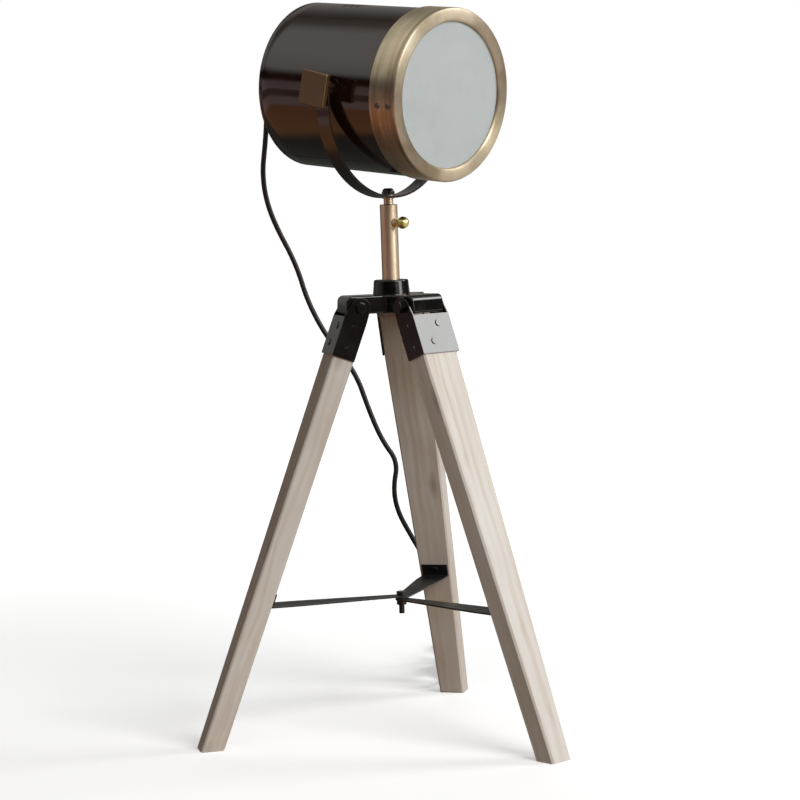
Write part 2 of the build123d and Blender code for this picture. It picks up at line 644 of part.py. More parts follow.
with BuildPart() as drum_shell:
    with BuildSketch(station(DRUM_REAR)):
        Circle(DRUM_RADIUS)
        Circle(DRUM_RADIUS - DRUM_SHEET, mode=Mode.SUBTRACT)
    extrude(amount=GASKET_BACK - DRUM_REAR)
    with BuildSketch(flank(1, 0)):
        Circle(PIVOT_HOLE)
    extrude(amount=BEZEL_RADIUS, both=True, mode=Mode.SUBTRACT)
    with BuildSketch(rim(90, -VENT_BEHIND_PIVOT)):
        with GridLocations(VENT_PITCH, VENT_ROW_PITCH, VENT_COUNT, 2):
            SlotOverall(VENT_LENGTH, VENT_WIDTH, rotation=90)
    extrude(amount=BEZEL_RADIUS, mode=Mode.SUBTRACT)
    for angle in SEAM_SIDES:
        with BuildSketch(rim(angle, SEAM_SCREW_AHEAD)):
            Circle(SEAM_SCREW_RADIUS + FIT)
        extrude(amount=BEZEL_RADIUS, mode=Mode.SUBTRACT)
save(drum_shell.part, "drum_shell")

HOLDER_PLATE_BACK = CAP_FACE + CAP_SHEET
HOLDER_BACK = HOLDER_PLATE_BACK + HOLDER_PLATE_SHEET
HOLDER_BORE = HOLDER_RADIUS - HOLDER_WALL
HOLDER_LENGTH = HOLDER_FLOOR + BULB_GAP + BULB_CAP_LENGTH

with BuildPart() as rear_cap:
    with BuildSketch(station(CAP_FACE)):
        Circle(CAP_RADIUS)
    extrude(amount=CAP_FLANGE)
    with BuildSketch(station(HOLDER_PLATE_BACK)):
        Circle(CAP_RADIUS - CAP_SHEET)
    extrude(amount=CAP_FLANGE, mode=Mode.SUBTRACT)
    with BuildSketch(station(CAP_FACE)):
        Circle(RELIEF_FOOT_RADIUS + FIT)
        with PolarLocations(HOLDER_SCREW_RING, 2):
            Circle(HOLDER_SCREW_RADIUS + FIT)
        with PolarLocations(CAP_VENT_RING, CAP_VENT_COUNT):
            SlotOverall(VENT_LENGTH, VENT_WIDTH)
    extrude(amount=CAP_SHEET, mode=Mode.SUBTRACT)
save(rear_cap.part, "rear_cap")

with BuildPart() as bezel:
    with BuildSketch(station(BEZEL_REAR)):
        Circle(BEZEL_RADIUS)
    extrude(amount=BEZEL_BAND)
    fillet(bezel.edges().sort_by(Axis(PIVOT, BEAM))[-1:], BEZEL_EDGE)
    with BuildSketch(station(BEZEL_REAR)):
        Circle(BEZEL_BORE)
    extrude(amount=BEZEL_BAND - BEZEL_LIP, mode=Mode.SUBTRACT)
    with BuildSketch(station(BEZEL_REAR)):
        Circle(LENS_OPENING_RADIUS)
    extrude(amount=BEZEL_BAND, mode=Mode.SUBTRACT)
    for angle in SEAM_SIDES:
        with BuildSketch(rim(angle, SEAM_SCREW_AHEAD)):
            Circle(SEAM_SCREW_RADIUS + FIT)
        extrude(amount=2 * BEZEL_RADIUS, mode=Mode.SUBTRACT)
save(bezel.part, "bezel")

with BuildPart() as bezel_screws:
    for angle in SEAM_SIDES:
        with BuildSketch(rim(angle, SEAM_SCREW_AHEAD, DRUM_RADIUS - 3 * DRUM_SHEET)):
            Circle(SEAM_SCREW_RADIUS)
        extrude(amount=BEZEL_RADIUS - DRUM_RADIUS + 3 * DRUM_SHEET)
        with BuildSketch(rim(angle, SEAM_SCREW_AHEAD, BEZEL_RADIUS + FIT)):
            Circle(SEAM_HEAD_RADIUS)
        extrude(amount=SEAM_HEAD_HEIGHT, taper=SCREW_TAPER)
        with BuildSketch(rim(angle, SEAM_SCREW_AHEAD, BEZEL_RADIUS)):
            Circle(SEAM_SCREW_RADIUS)
        extrude(amount=SEAM_HEAD_HEIGHT)
save(bezel_screws.part, "bezel_screws")

with BuildPart() as seam_rivets:
    for angle in SEAM_SIDES:
        with BuildSketch(rim(angle, BEZEL_REAR + SEAM_RIVET_INSET, BEZEL_RADIUS + FIT)):
            Circle(SEAM_HEAD_RADIUS)
        extrude(amount=SEAM_HEAD_HEIGHT, taper=RIVET_TAPER)
save(seam_rivets.part, "seam_rivets")

LENS_RADIUS = BEZEL_BORE - FIT

with BuildPart() as lens:
    with BuildSketch(station(LENS_BACK)):
        Circle(LENS_RADIUS)
    extrude(amount=LENS_THICKNESS)
save(lens.part, "lens")

with BuildPart() as lens_gasket:
    with BuildSketch(station(GASKET_BACK)):
        Circle(LENS_RADIUS)
        Circle(LENS_RADIUS - GASKET_WIDTH, mode=Mode.SUBTRACT)
    extrude(amount=GASKET_THICKNESS)
save(lens_gasket.part, "lens_gasket")

# ---------------------------------------------------------------- lampholder and bulb

HOLDER_SCREW_HEAD = 2.6
HOLDER_SCREW_RISE = 1.6

with BuildPart() as holder_plate:
    with BuildSketch(station(HOLDER_PLATE_BACK)):
        Circle(HOLDER_PLATE_RADIUS)
        Circle(RELIEF_FOOT_RADIUS + FIT, mode=Mode.SUBTRACT)
        with PolarLocations(HOLDER_SCREW_RING, 2):
            Circle(HOLDER_SCREW_RADIUS + FIT, mode=Mode.SUBTRACT)
    extrude(amount=HOLDER_PLATE_SHEET)
save(holder_plate.part, "holder_plate")

with BuildPart() as holder_screws:
    with BuildSketch(station(CAP_FACE)):
        with PolarLocations(HOLDER_SCREW_RING, 2):
            Circle(HOLDER_SCREW_RADIUS)
    extrude(amount=CAP_SHEET + HOLDER_PLATE_SHEET + HOLDER_SCREW_RISE)
    with BuildSketch(station(CAP_FACE)):
        with PolarLocations(HOLDER_SCREW_RING, 2):
            Circle(HOLDER_SCREW_HEAD)
    extrude(amount=-HOLDER_SCREW_RISE, taper=SCREW_TAPER)
save(holder_screws.part, "holder_screws")

with BuildPart() as lampholder:
    with BuildSketch(station(HOLDER_BACK)):
        Circle(HOLDER_RADIUS)
    extrude(amount=HOLDER_LENGTH)
    with BuildSketch(station(HOLDER_BACK + HOLDER_FLOOR)):
        Circle(HOLDER_BORE)
    extrude(amount=HOLDER_LENGTH, mode=Mode.SUBTRACT)
save(lampholder.part, "lampholder")

BULB_BACK = HOLDER_BACK + HOLDER_FLOOR + BULB_GAP
GLASS_BACK = BULB_BACK + BULB_CAP_LENGTH
BULB_CENTRE = BULB_BACK + BULB_LENGTH - BULB_RADIUS
BULB_CONTACT_RADIUS = 5.0

with BuildPart() as bulb_cap:
    with BuildSketch(station(BULB_BACK)):
        Circle(BULB_CONTACT_RADIUS)
    with BuildSketch(station(BULB_BACK + BULB_CONTACT_RADIUS)):
        Circle(BULB_CAP_RADIUS)
    loft()
    with BuildSketch(station(BULB_BACK + BULB_CONTACT_RADIUS)):
        Circle(BULB_CAP_RADIUS)
    extrude(amount=BULB_CAP_LENGTH - BULB_CONTACT_RADIUS)
save(bulb_cap.part, "bulb_cap")

with BuildPart() as bulb_glass:
    for inset, how in ((0, Mode.ADD), (BULB_WALL, Mode.SUBTRACT)):
        with BuildSketch(Plane(origin=PIVOT, x_dir=ACROSS, z_dir=ACROSS.cross(BEAM))):
            with BuildLine():
                neck = Line((0, GLASS_BACK), (BULB_CAP_RADIUS - inset, GLASS_BACK))
                crown = CenterArc((0, BULB_CENTRE), BULB_RADIUS - inset, -BULB_FLARE_ANGLE,
                                  90 + BULB_FLARE_ANGLE)
                Line(neck @ 1, crown @ 0)
                Line(crown @ 1, neck @ 0)
            make_face()
        revolve(axis=Axis(PIVOT, BEAM), mode=how)
save(bulb_glass.part, "bulb_glass")

# ---------------------------------------------------------------- tilt pivot and knobs

KNOB_BACK = KNOB_FACE - KNOB_DEPTH
WASHER_BACK = YOKE_OUTER + FIT
NECK_BACK = WASHER_BACK + KNOB_WASHER_SHEET
SCREW_END = DRUM_RADIUS - PIVOT_BOSS_DEPTH
SPACER_END = YOKE_INNER - FIT

with BuildPart() as pivot_bosses:
    for side in (1, -1):
        with BuildSketch(flank(side, SCREW_END)):
            Circle(PIVOT_BOSS_RADIUS)
            Circle(PIVOT_SCREW_RADIUS + FIT, mode=Mode.SUBTRACT)
        extrude(amount=PIVOT_BOSS_DEPTH)
    with BuildSketch(station(-PIVOT_BOSS_RADIUS)):
        Circle(DRUM_RADIUS - DRUM_SHEET)
    extrude(amount=2 * PIVOT_BOSS_RADIUS, mode=Mode.INTERSECT)
save(pivot_bosses.part, "pivot_bosses")

with BuildPart() as pivot_spacers:
    for side in (1, -1):
        with BuildSketch(flank(side, DRUM_RADIUS - DRUM_SHEET)):
            Circle(PIVOT_BOSS_RADIUS)
            Circle(PIVOT_SCREW_RADIUS + FIT, mode=Mode.SUBTRACT)
        extrude(amount=SPACER_END - DRUM_RADIUS + DRUM_SHEET)
    with BuildSketch(station(-2 * PIVOT_BOSS_RADIUS)):
        Circle(DRUM_RADIUS)
    extrude(amount=4 * PIVOT_BOSS_RADIUS, mode=Mode.SUBTRACT)
save(pivot_spacers.part, "pivot_spacers")

with BuildPart() as knob_washers:
    for side in (1, -1):
        with BuildSketch(flank(side, WASHER_BACK)):
            Circle(KNOB_WASHER_RADIUS)
            Circle(PIVOT_SCREW_RADIUS + FIT, mode=Mode.SUBTRACT)
        extrude(amount=KNOB_WASHER_SHEET)
save(knob_washers.part, "knob_washers")

for name, side in {"right": 1, "left": -1}.items():
    with BuildPart() as knob:
        with BuildSketch(flank(side, KNOB_BACK)):
            RectangleRounded(KNOB_WIDTH, KNOB_HEIGHT, KNOB_CORNER, rotation=side * KNOB_LEAN)
        extrude(amount=KNOB_DEPTH)
        chamfer(knob.edges().group_by(Axis(PIVOT, ACROSS * side))[-1], KNOB_EDGE)
        with BuildSketch(flank(side, NECK_BACK)):
            Circle(KNOB_NECK_RADIUS)
        extrude(amount=KNOB_BACK - NECK_BACK)
        with BuildSketch(flank(side, SCREW_END)):
            Circle(PIVOT_SCREW_RADIUS)
        extrude(amount=NECK_BACK - SCREW_END)
    save(knob.part, f"tilt_knob_{name}")

# ---------------------------------------------------------------- strain relief

with BuildPart() as strain_relief:
    with BuildSketch(station(CAP_FACE - RELIEF_FLANGE)):
        Circle(RELIEF_FLANGE_RADIUS)
    extrude(amount=RELIEF_FLANGE)
    with BuildSketch(station(CAP_FACE)):
        Circle(RELIEF_FOOT_RADIUS)
    extrude(amount=CAP_SHEET + HOLDER_PLATE_SHEET)
    with BuildSketch(station(CAP_FACE - RELIEF_FLANGE)):
        Circle(RELIEF_FOOT_RADIUS)
    with BuildSketch(station(CAP_FACE - RELIEF_FLANGE - RELIEF_LENGTH)):
        Circle(RELIEF_TIP_RADIUS)
    loft()
save(strain_relief.part, "strain_relief")
RELIEF_TIP = PIVOT + BEAM * (CAP_FACE - RELIEF_FLANGE - RELIEF_LENGTH)

# ---------------------------------------------------------------- cord

SWITCH_TOP = Vector(145.6, 137.8, 97.0)
SWITCH_BOTTOM = Vector(158.8, 143.2, 51.0)
SWITCH_UP = (SWITCH_TOP - SWITCH_BOTTOM).normalized()

# Straight run of cord out of a fitting, along the fitting's own axis
CORD_LEAD = 12.5
SWITCH_LEAD = 9.4
HANK_LEAD = 12.0

# The route, corner by corner. It leaves the drum's back and hangs down behind the stand.
CORD_UPPER = [
    RELIEF_TIP,
    RELIEF_TIP - BEAM * CORD_LEAD,
    (-8.2, 177.1, 589.4),
    (-8.4, 186.6, 581.1),
    (-8.5, 192.2, 569.6),
    (-8.5, 193.5, 553.0),
    (-9.5, 195.5, 534.0),
    (-10.5, 199.0, 512.0),
    (-9.75, 198.5, 500.0),
]
CORD_MIDDLE = [
    CORD_UPPER[-1],
    (-9.0, 198.0, 488.0),
    (-1.0, 195.0, 462.0),
    (16.5, 186.5, 424.0),
    (26.0, 182.5, 387.0),
    (43.0, 174.0, 351.0),
    (64.0, 161.0, 320.0),
    (75.5, 155.5, 281.0),
    (80.75, 152.75, 266.5),
]
# It passes behind the rear right leg, where the switch hangs.
CORD_LOWER = [
    CORD_MIDDLE[-1],
    (86.0, 150.0, 252.0),
    (99.5, 143.5, 231.0),
    (95.5, 147.0, 206.0),
    (101.0, 148.0, 183.0),
    (113.0, 143.5, 159.0),
    (126.0, 137.5, 134.0),
    SWITCH_TOP + SWITCH_UP * CORD_LEAD,
    SWITCH_TOP,
]

# The rest stands on edge on the table behind the stand, wound up and tied at its waist.
HANK_TURNS = 3.5
HANK_LOBE_RADIUS = 14.4  # of the cord's middle line, round each end
HANK_LOBE_REACH = 33.6
HANK_WAIST_RADIUS = 38.6
HANK_WAIST_REACH = 41.0
HANK_PITCH = 4.9  # from one turn to the next
HANK_COLUMNS = 4
HANK_SKIN = 0.1  # of the solid over the cord's turns
HANK_STUB = 46.0  # from the middle to where the cord runs in and out
HANK_X = 222.0
HANK_Y = 203.2
HANK_TURNED = 45.79  # the long way of the hank, from +X towards +Y

HANK_ALONG = out_of(HANK_TURNED)
HANK_ACROSS = HANK_ALONG.cross(UP)
LOBE_OUTER = HANK_LOBE_RADIUS + CORD_RADIUS + HANK_SKIN
LOBE_INNER = HANK_LOBE_RADIUS - CORD_RADIUS - HANK_SKIN
WAIST_OUTER = HANK_WAIST_RADIUS - CORD_RADIUS - HANK_SKIN
HANK_CENTRE = Vector(HANK_X, HANK_Y, LOBE_OUTER)
HANK_THICKNESS = (HANK_COLUMNS - 1) * HANK_PITCH + 2 * (CORD_RADIUS + HANK_SKIN)
HANK_OUTER_COLUMN = (HANK_COLUMNS - 1) * HANK_PITCH / 2
HANK_PLANE = Plane(origin=HANK_CENTRE, x_dir=HANK_ALONG, z_dir=HANK_ACROSS)
HANK_FOOT = HANK_CENTRE - UP * HANK_LOBE_RADIUS
HANK_ENTRY = HANK_FOOT - HANK_ALONG * HANK_STUB - HANK_ACROSS * HANK_OUTER_COLUMN
HANK_EXIT = HANK_FOOT + HANK_ALONG * HANK_STUB + HANK_ACROSS * HANK_OUTER_COLUMN

CORD_TAIL = [
    SWITCH_BOTTOM,
    SWITCH_BOTTOM - SWITCH_UP * SWITCH_LEAD,
    (161.1, 147.5, 22.6),
    (166.8, 155.8, 9.1),
    HANK_ENTRY - HANK_ALONG * HANK_LEAD,
    HANK_ENTRY,
]

PLUG_START = Vector(283.0, 260.5, 7.0)
CORD_END = [
    HANK_EXIT,
    HANK_EXIT + HANK_ALONG * CORD_LEAD,
    PLUG_START - HANK_ALONG * CORD_LEAD,
    PLUG_START,
]

BEND_SHARE = 0.45  # of the shorter run, taken by the arc at a corner


def cord(route, name):
    """Round cord along a route: straight runs joined by tangent arcs. Returns its length."""
    corners = [Vector(corner) for corner in route]
    radii = []
    for before, corner, after in zip(corners, corners[1:], corners[2:]):
        arriving = corner - before
        leaving = after - corner
        half_turn = math.radians(arriving.get_angle(leaving)) / 2
        radii.append(BEND_SHARE * min(arriving.length, leaving.length) / math.tan(half_turn))
    with BuildPart() as tube:
        with BuildLine() as middle:
            FilletPolyline(*corners, radius=radii)
        with BuildSketch(Plane(origin=corners[0], z_dir=corners[1] - corners[0])):
            Circle(CORD_RADIUS)
        sweep()
    save(tube.part, name)
    length = sum(edge.length for edge in middle.edges())
    expected = math.pi * CORD_RADIUS**2 * length
    print(f"{name}: {length:.1f} mm, bends {[round(radius, 1) for radius in radii]},",
          f"volume {tube.part.volume:.0f} of {expected:.0f}")
    return length


cord_length = 0.0
for name, route in {
    "cord_upper": CORD_UPPER,
    "cord_middle": CORD_MIDDLE,
    "cord_lower": CORD_LOWER,
    "cord_tail": CORD_TAIL,
    "cord_end": CORD_END,
}.items():
    cord_length += cord(route, name)

lobe_angle = math.atan2(HANK_WAIST_REACH, HANK_LOBE_REACH)
turn_length = 4 * (HANK_LOBE_RADIUS * (math.pi - lobe_angle)
                   + HANK_WAIST_RADIUS * (math.pi / 2 - lobe_angle))
hank_length = HANK_TURNS * turn_length + 2 * (HANK_STUB - HANK_LOBE_REACH)
print(f"cord in all: {cord_length + hank_length:.0f} mm, of it {hank_length:.0f} mm in the hank")

LOBES = [(-HANK_LOBE_REACH, 0), (HANK_LOBE_REACH, 0)]
WAISTS = [(0, -HANK_WAIST_REACH), (0, HANK_WAIST_REACH)]
SHOULDER_X = HANK_LOBE_REACH * WAIST_OUTER / (WAIST_OUTER + LOBE_OUTER)
SHOULDER_Y = HANK_WAIST_REACH * LOBE_OUTER / (WAIST_OUTER + LOBE_OUTER)

with BuildPart() as cord_hank:
    with BuildSketch(HANK_PLANE):
        Rectangle(2 * SHOULDER_X, 2 * SHOULDER_Y)
        with Locations(*WAISTS):
            Circle(WAIST_OUTER, mode=Mode.SUBTRACT)
        with Locations(*LOBES):
            Circle(LOBE_OUTER)
    extrude(amount=HANK_THICKNESS / 2, both=True)
    with BuildSketch(HANK_PLANE):
        with Locations(*LOBES):
            Circle(LOBE_INNER)
    extrude(amount=HANK_THICKNESS / 2, both=True, mode=Mode.SUBTRACT)
    for face_centre, inwards in ((HANK_ENTRY, HANK_ALONG), (HANK_EXIT, -HANK_ALONG)):
        with BuildSketch(Plane(origin=face_centre, z_dir=inwards)):
            Circle(CORD_RADIUS)
        extrude(amount=HANK_STUB - HANK_LOBE_REACH)
save(cord_hank.part, "cord_hank")

TIE_WIDTH = 10.0
TIE_SHEET = 1.0
TIE_CORNER = 2.0
TIE_INNER_HEIGHT = 2 * (HANK_WAIST_REACH - math.sqrt(WAIST_OUTER**2 - (TIE_WIDTH / 2)**2)) + FIT
TIE_INNER_WIDTH = HANK_THICKNESS + FIT

with BuildPart() as hank_tie:
    with BuildSketch(Plane(origin=HANK_CENTRE, x_dir=HANK_ACROSS, z_dir=HANK_ALONG)):
        RectangleRounded(TIE_INNER_WIDTH + 2 * TIE_SHEET, TIE_INNER_HEIGHT + 2 * TIE_SHEET, TIE_CORNER)
        Rectangle(TIE_INNER_WIDTH, TIE_INNER_HEIGHT, mode=Mode.SUBTRACT)
    extrude(amount=TIE_WIDTH / 2, both=True)
save(hank_tie.part, "hank_tie")

# ---------------------------------------------------------------- switch in the cord

SWITCH_WIDTH = 20.0
SWITCH_DEPTH = 14.0
SWITCH_CORNER = 6.0
SWITCH_EDGE = 2.0
ROCKER_RADIUS = 8.0
ROCKER_DEPTH = 3.0  # its axle, below the face of the case
ROCKER_WIDTH = 10.0
ROCKER_TILT = 8.0  # either way from the middle
ROCKER_CLEAR = 0.3
ROCKER_ARM = 2 * ROCKER_RADIUS

SWITCH_LENGTH = (SWITCH_TOP - SWITCH_BOTTOM).length
LEG_OUT = out_of(LEG_AZIMUTHS["rear_right"])
SWITCH_OUT = (LEG_OUT - SWITCH_UP * LEG_OUT.dot(SWITCH_UP)).normalized()
SWITCH_MIDDLE = (SWITCH_TOP + SWITCH_BOTTOM) / 2
SWITCH_SECTION = Plane(origin=SWITCH_MIDDLE, x_dir=SWITCH_UP, z_dir=SWITCH_UP.cross(SWITCH_OUT))
AXLE = Vector(0, SWITCH_DEPTH / 2 - ROCKER_DEPTH)

with BuildPart() as switch_case:
    with BuildSketch(Plane(origin=SWITCH_MIDDLE - SWITCH_OUT * SWITCH_DEPTH / 2, x_dir=SWITCH_UP,
                           z_dir=SWITCH_OUT)):
        RectangleRounded(SWITCH_LENGTH, SWITCH_WIDTH, SWITCH_CORNER)
    extrude(amount=SWITCH_DEPTH)
    for side in (1, -1):
        fillet(switch_case.edges().group_by(Axis(SWITCH_MIDDLE, SWITCH_OUT * side))[-1], SWITCH_EDGE)
    with BuildSketch(SWITCH_SECTION):
        with Locations(AXLE):
            Circle(ROCKER_RADIUS + ROCKER_CLEAR)
    extrude(amount=ROCKER_WIDTH / 2 + ROCKER_CLEAR, both=True, mode=Mode.SUBTRACT)
save(switch_case.part, "switch_case")

with BuildPart() as switch_rocker:
    with BuildSketch(SWITCH_SECTION):
        with Locations(Location(AXLE, (0, 0, -ROCKER_TILT))):
            Circle(ROCKER_RADIUS)
            Polygon(
                (0, ROCKER_DEPTH),
                (ROCKER_ARM, ROCKER_DEPTH + ROCKER_ARM * math.tan(math.radians(ROCKER_TILT))),
                (ROCKER_ARM, ROCKER_ARM),
                (-ROCKER_ARM, ROCKER_ARM),
                (-ROCKER_ARM, ROCKER_DEPTH + ROCKER_ARM * math.tan(math.radians(ROCKER_TILT))),
                align=None,
                mode=Mode.SUBTRACT,
            )
    extrude(amount=ROCKER_WIDTH / 2, both=True)
save(switch_rocker.part, "switch_rocker")

# ---------------------------------------------------------------- plug

PLUG_RELIEF_LENGTH = 14.0
PLUG_RELIEF_START_RADIUS = 3.2
PLUG_RELIEF_END_RADIUS = 5.5
PLUG_LENGTH = 24.0
PLUG_WIDTH = 20.0
PLUG_DEPTH = 14.0
PLUG_CORNER = 4.0
PLUG_EDGE = 1.5
BLADE_LENGTH = 16.0
BLADE_WIDTH = 6.35
BLADE_SHEET = 1.5
BLADE_PITCH = 12.7
BLADE_SEAT = 6.0
BLADE_HOLE_RADIUS = 1.5
BLADE_HOLE_INSET = 4.0  # from the tip

PLUG_ACROSS = HANK_ACROSS
PLUG_BACK = PLUG_START + HANK_ALONG * PLUG_RELIEF_LENGTH
PLUG_FRONT = PLUG_BACK + HANK_ALONG * PLUG_LENGTH

with BuildPart() as plug_body:
    with BuildSketch(Plane(origin=PLUG_START, x_dir=PLUG_ACROSS, z_dir=HANK_ALONG)):
        Circle(PLUG_RELIEF_START_RADIUS)
    with BuildSketch(Plane(origin=PLUG_BACK, x_dir=PLUG_ACROSS, z_dir=HANK_ALONG)):
        Circle(PLUG_RELIEF_END_RADIUS)
    loft()
    with BuildSketch(Plane(origin=PLUG_BACK, x_dir=PLUG_ACROSS, z_dir=HANK_ALONG)):
        RectangleRounded(PLUG_WIDTH, PLUG_DEPTH, PLUG_CORNER)
    extrude(amount=PLUG_LENGTH)
    fillet(plug_body.edges().group_by(Axis(PLUG_START, HANK_ALONG))[-1], PLUG_EDGE)
    with BuildSketch(Plane(origin=PLUG_FRONT, x_dir=PLUG_ACROSS, z_dir=HANK_ALONG)):
        with GridLocations(BLADE_PITCH, 0, 2, 1):
            Rectangle(BLADE_SHEET + 2 * FIT, BLADE_WIDTH + 2 * FIT)
    extrude(amount=-BLADE_SEAT, mode=Mode.SUBTRACT)
save(plug_body.part, "plug_body")

with BuildPart() as plug_pins:
    with BuildSketch(Plane(origin=PLUG_FRONT - HANK_ALONG * BLADE_SEAT, x_dir=PLUG_ACROSS,
                           z_dir=HANK_ALONG)):
        with GridLocations(BLADE_PITCH, 0, 2, 1):
            Rectangle(BLADE_SHEET, BLADE_WIDTH)
    extrude(amount=BLADE_SEAT + BLADE_LENGTH)
    tip_edges = plug_pins.edges().group_by(Axis(PLUG_START, HANK_ALONG))[-1]
    chamfer(tip_edges.filter_by(Axis(PLUG_START, UP)), BLADE_SHEET / 3)
    with BuildSketch(Plane(origin=PLUG_FRONT + HANK_ALONG * (BLADE_LENGTH - BLADE_HOLE_INSET),
                           x_dir=HANK_ALONG, z_dir=PLUG_ACROSS)):
        Circle(BLADE_HOLE_RADIUS)
    extrude(amount=PLUG_WIDTH / 2, both=True, mode=Mode.SUBTRACT)
save(plug_pins.part, "plug_pins")
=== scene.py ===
"""Searchlight table lamp on a wooden tripod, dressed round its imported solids."""

import json
import logging
import math
from contextlib import contextmanager
from dataclasses import dataclass, field
from enum import Enum
from typing import Iterable, Iterator, Sequence

import bpy
from mathutils import Matrix, Vector

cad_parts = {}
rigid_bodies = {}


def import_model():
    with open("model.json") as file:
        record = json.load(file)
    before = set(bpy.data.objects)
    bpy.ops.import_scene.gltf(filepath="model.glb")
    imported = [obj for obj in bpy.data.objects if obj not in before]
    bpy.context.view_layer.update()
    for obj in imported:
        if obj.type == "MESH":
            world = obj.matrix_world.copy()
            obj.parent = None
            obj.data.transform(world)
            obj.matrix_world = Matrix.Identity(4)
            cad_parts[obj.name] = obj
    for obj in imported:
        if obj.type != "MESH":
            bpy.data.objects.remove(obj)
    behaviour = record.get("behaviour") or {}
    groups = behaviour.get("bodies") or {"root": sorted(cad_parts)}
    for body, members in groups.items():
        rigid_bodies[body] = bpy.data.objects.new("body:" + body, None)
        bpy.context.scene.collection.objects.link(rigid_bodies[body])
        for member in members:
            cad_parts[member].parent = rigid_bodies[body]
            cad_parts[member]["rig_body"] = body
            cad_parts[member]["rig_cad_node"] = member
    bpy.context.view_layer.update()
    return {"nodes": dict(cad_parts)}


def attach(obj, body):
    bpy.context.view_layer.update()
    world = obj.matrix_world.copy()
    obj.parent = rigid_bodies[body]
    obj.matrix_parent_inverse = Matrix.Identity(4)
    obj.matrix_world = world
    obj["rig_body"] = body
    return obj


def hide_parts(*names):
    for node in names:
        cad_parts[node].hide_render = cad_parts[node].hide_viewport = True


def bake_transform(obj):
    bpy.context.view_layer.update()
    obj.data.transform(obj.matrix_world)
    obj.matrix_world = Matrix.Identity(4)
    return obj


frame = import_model()

logging.basicConfig(level=logging.INFO, format="%(message)s")
log = logging.getLogger("lamp")

Piece = bpy.types.Object
Node = bpy.types.Node
Socket = bpy.types.NodeSocket
Span = tuple[float, float]  # two values, such as the ends of a soft change
Spot = tuple[float, float, float]  # a place in millimetres, or a scale along each axis
Profile = tuple[Span, ...]  # inset from a radius and distance ahead of an edge, ring by ring
Colour = tuple[float, float, float]
Stop = tuple[float, Colour]  # position and colour on a ramp

MM = 0.001
UP = Vector((0.0, 0.0, 1.0))
POST = Vector((0.0, 0.042434, 0.0))  # the post's axis stands this far behind the origin
PIVOT = POST + UP * 0.57875
AIM_TURN = math.radians(3.6)
NOSE_DOWN = math.radians(6.6)
ACROSS = Vector((math.cos(AIM_TURN), math.sin(AIM_TURN), 0.0))
HEADING = Vector((math.sin(AIM_TURN), -math.cos(AIM_TURN), 0.0))
BEAM = HEADING * math.cos(NOSE_DOWN) - UP * math.sin(NOSE_DOWN)
LEG_LEAN = math.radians(20.6)
TOE_RADIUS = 0.190
WELD = 1e-6  # vertices nearer than this many metres are one
FLAT_WITHIN = 0.6  # degrees between faces that count as one
ROUNDED_OVER = 28.0  # degrees over which an edge is rounded
WHITE = (1.0, 1.0, 1.0)


# ---------------------------------------------------------------- small tools


def srgb(red: float, green: float, blue: float) -> Colour:
    """Colour as it is seen, 0 to 255 a channel, made linear for a shader.

    Args:
        red: Red channel.
        green: Green channel.
        blue: Blue channel.

    Returns:
        Linear red, green and blue.
    """
    shares = (channel / 255.0 for channel in (red, green, blue))
    return tuple(share / 12.92 if share <= 0.04045 else ((share + 0.055) / 1.055) ** 2.4
                 for share in shares)


def basis(origin: Vector, x_axis: Vector, z_axis: Vector) -> Matrix:
    """Matrix that carries a piece made upright at the origin to its place.

    Args:
        origin: Where the piece's own origin goes.
        x_axis: Where its +X points.
        z_axis: Where its +Z points.

    Returns:
        The placing matrix.
    """
    z = z_axis.normalized()
    x = (x_axis - z * x_axis.dot(z)).normalized()
    return Matrix.Translation(origin) @ Matrix((x, z.cross(x), z)).transposed().to_4x4()


UPRIGHT = basis(POST, Vector((1.0, 0.0, 0.0)), UP)


def station(ahead: float) -> Matrix:
    """Place across the drum, this far ahead of the pivot in millimetres, with +Z along the beam."""
    return basis(PIVOT + BEAM * ahead * MM, ACROSS, BEAM)


def out_of(azimuth: float) -> Vector:
    """Level unit vector from the post at an azimuth in degrees."""
    return Vector((math.cos(math.radians(azimuth)), math.sin(math.radians(azimuth)), 0.0))


def facing(way: Vector) -> Matrix:
    """Turn that points a light along a vector."""
    return way.to_track_quat("-Z", "Y").to_matrix().to_4x4()


def only(*pieces: Piece) -> None:
    """Selects just these pieces, the first of them active.

    Args:
        pieces: The pieces.
    """
    bpy.ops.object.select_all(action="DESELECT")
    for piece in pieces:
        piece.select_set(True)
    bpy.context.view_layer.objects.active = pieces[0]


def name_new(name: str) -> Piece:
    """Names the active piece and its mesh.

    Args:
        name: The name.

    Returns:
        The piece.
    """
    piece = bpy.context.active_object
    piece.name = name
    piece.data.name = name
    return piece


def settle(piece: Piece, place: Matrix) -> Piece:
    """Carries a piece to its place and leaves its object at the origin.

    Args:
        piece: The piece, made round the origin.
        place: Where it goes.

    Returns:
        The same piece.
    """
    only(piece)
    piece.matrix_world = place
    bpy.ops.object.transform_apply(location=True, rotation=True, scale=True)
    return piece


@contextmanager
def editing(piece: Piece, select: str = "SELECT") -> Iterator[None]:
    """Edit mode on a piece with all or nothing of it selected.

    Args:
        piece: The piece.
        select: SELECT or DESELECT.

    Yields:
        Nothing, while edit mode is on.
    """
    only(piece)
    bpy.ops.object.mode_set(mode="EDIT")
    bpy.ops.mesh.select_all(action=select)
    yield
    bpy.ops.object.mode_set(mode="OBJECT")


def linked(name: str, data: bpy.types.ID, place: Matrix) -> Piece:
    """Object of a camera, a light or a curve, in the scene at its place.

    Args:
        name: Name of the object.
        data: The camera, light or curve.
        place: Where it goes.

    Returns:
        The object.
    """
    made = bpy.data.objects.new(name, data)
    bpy.context.scene.collection.objects.link(made)
    made.matrix_world = place
    return made


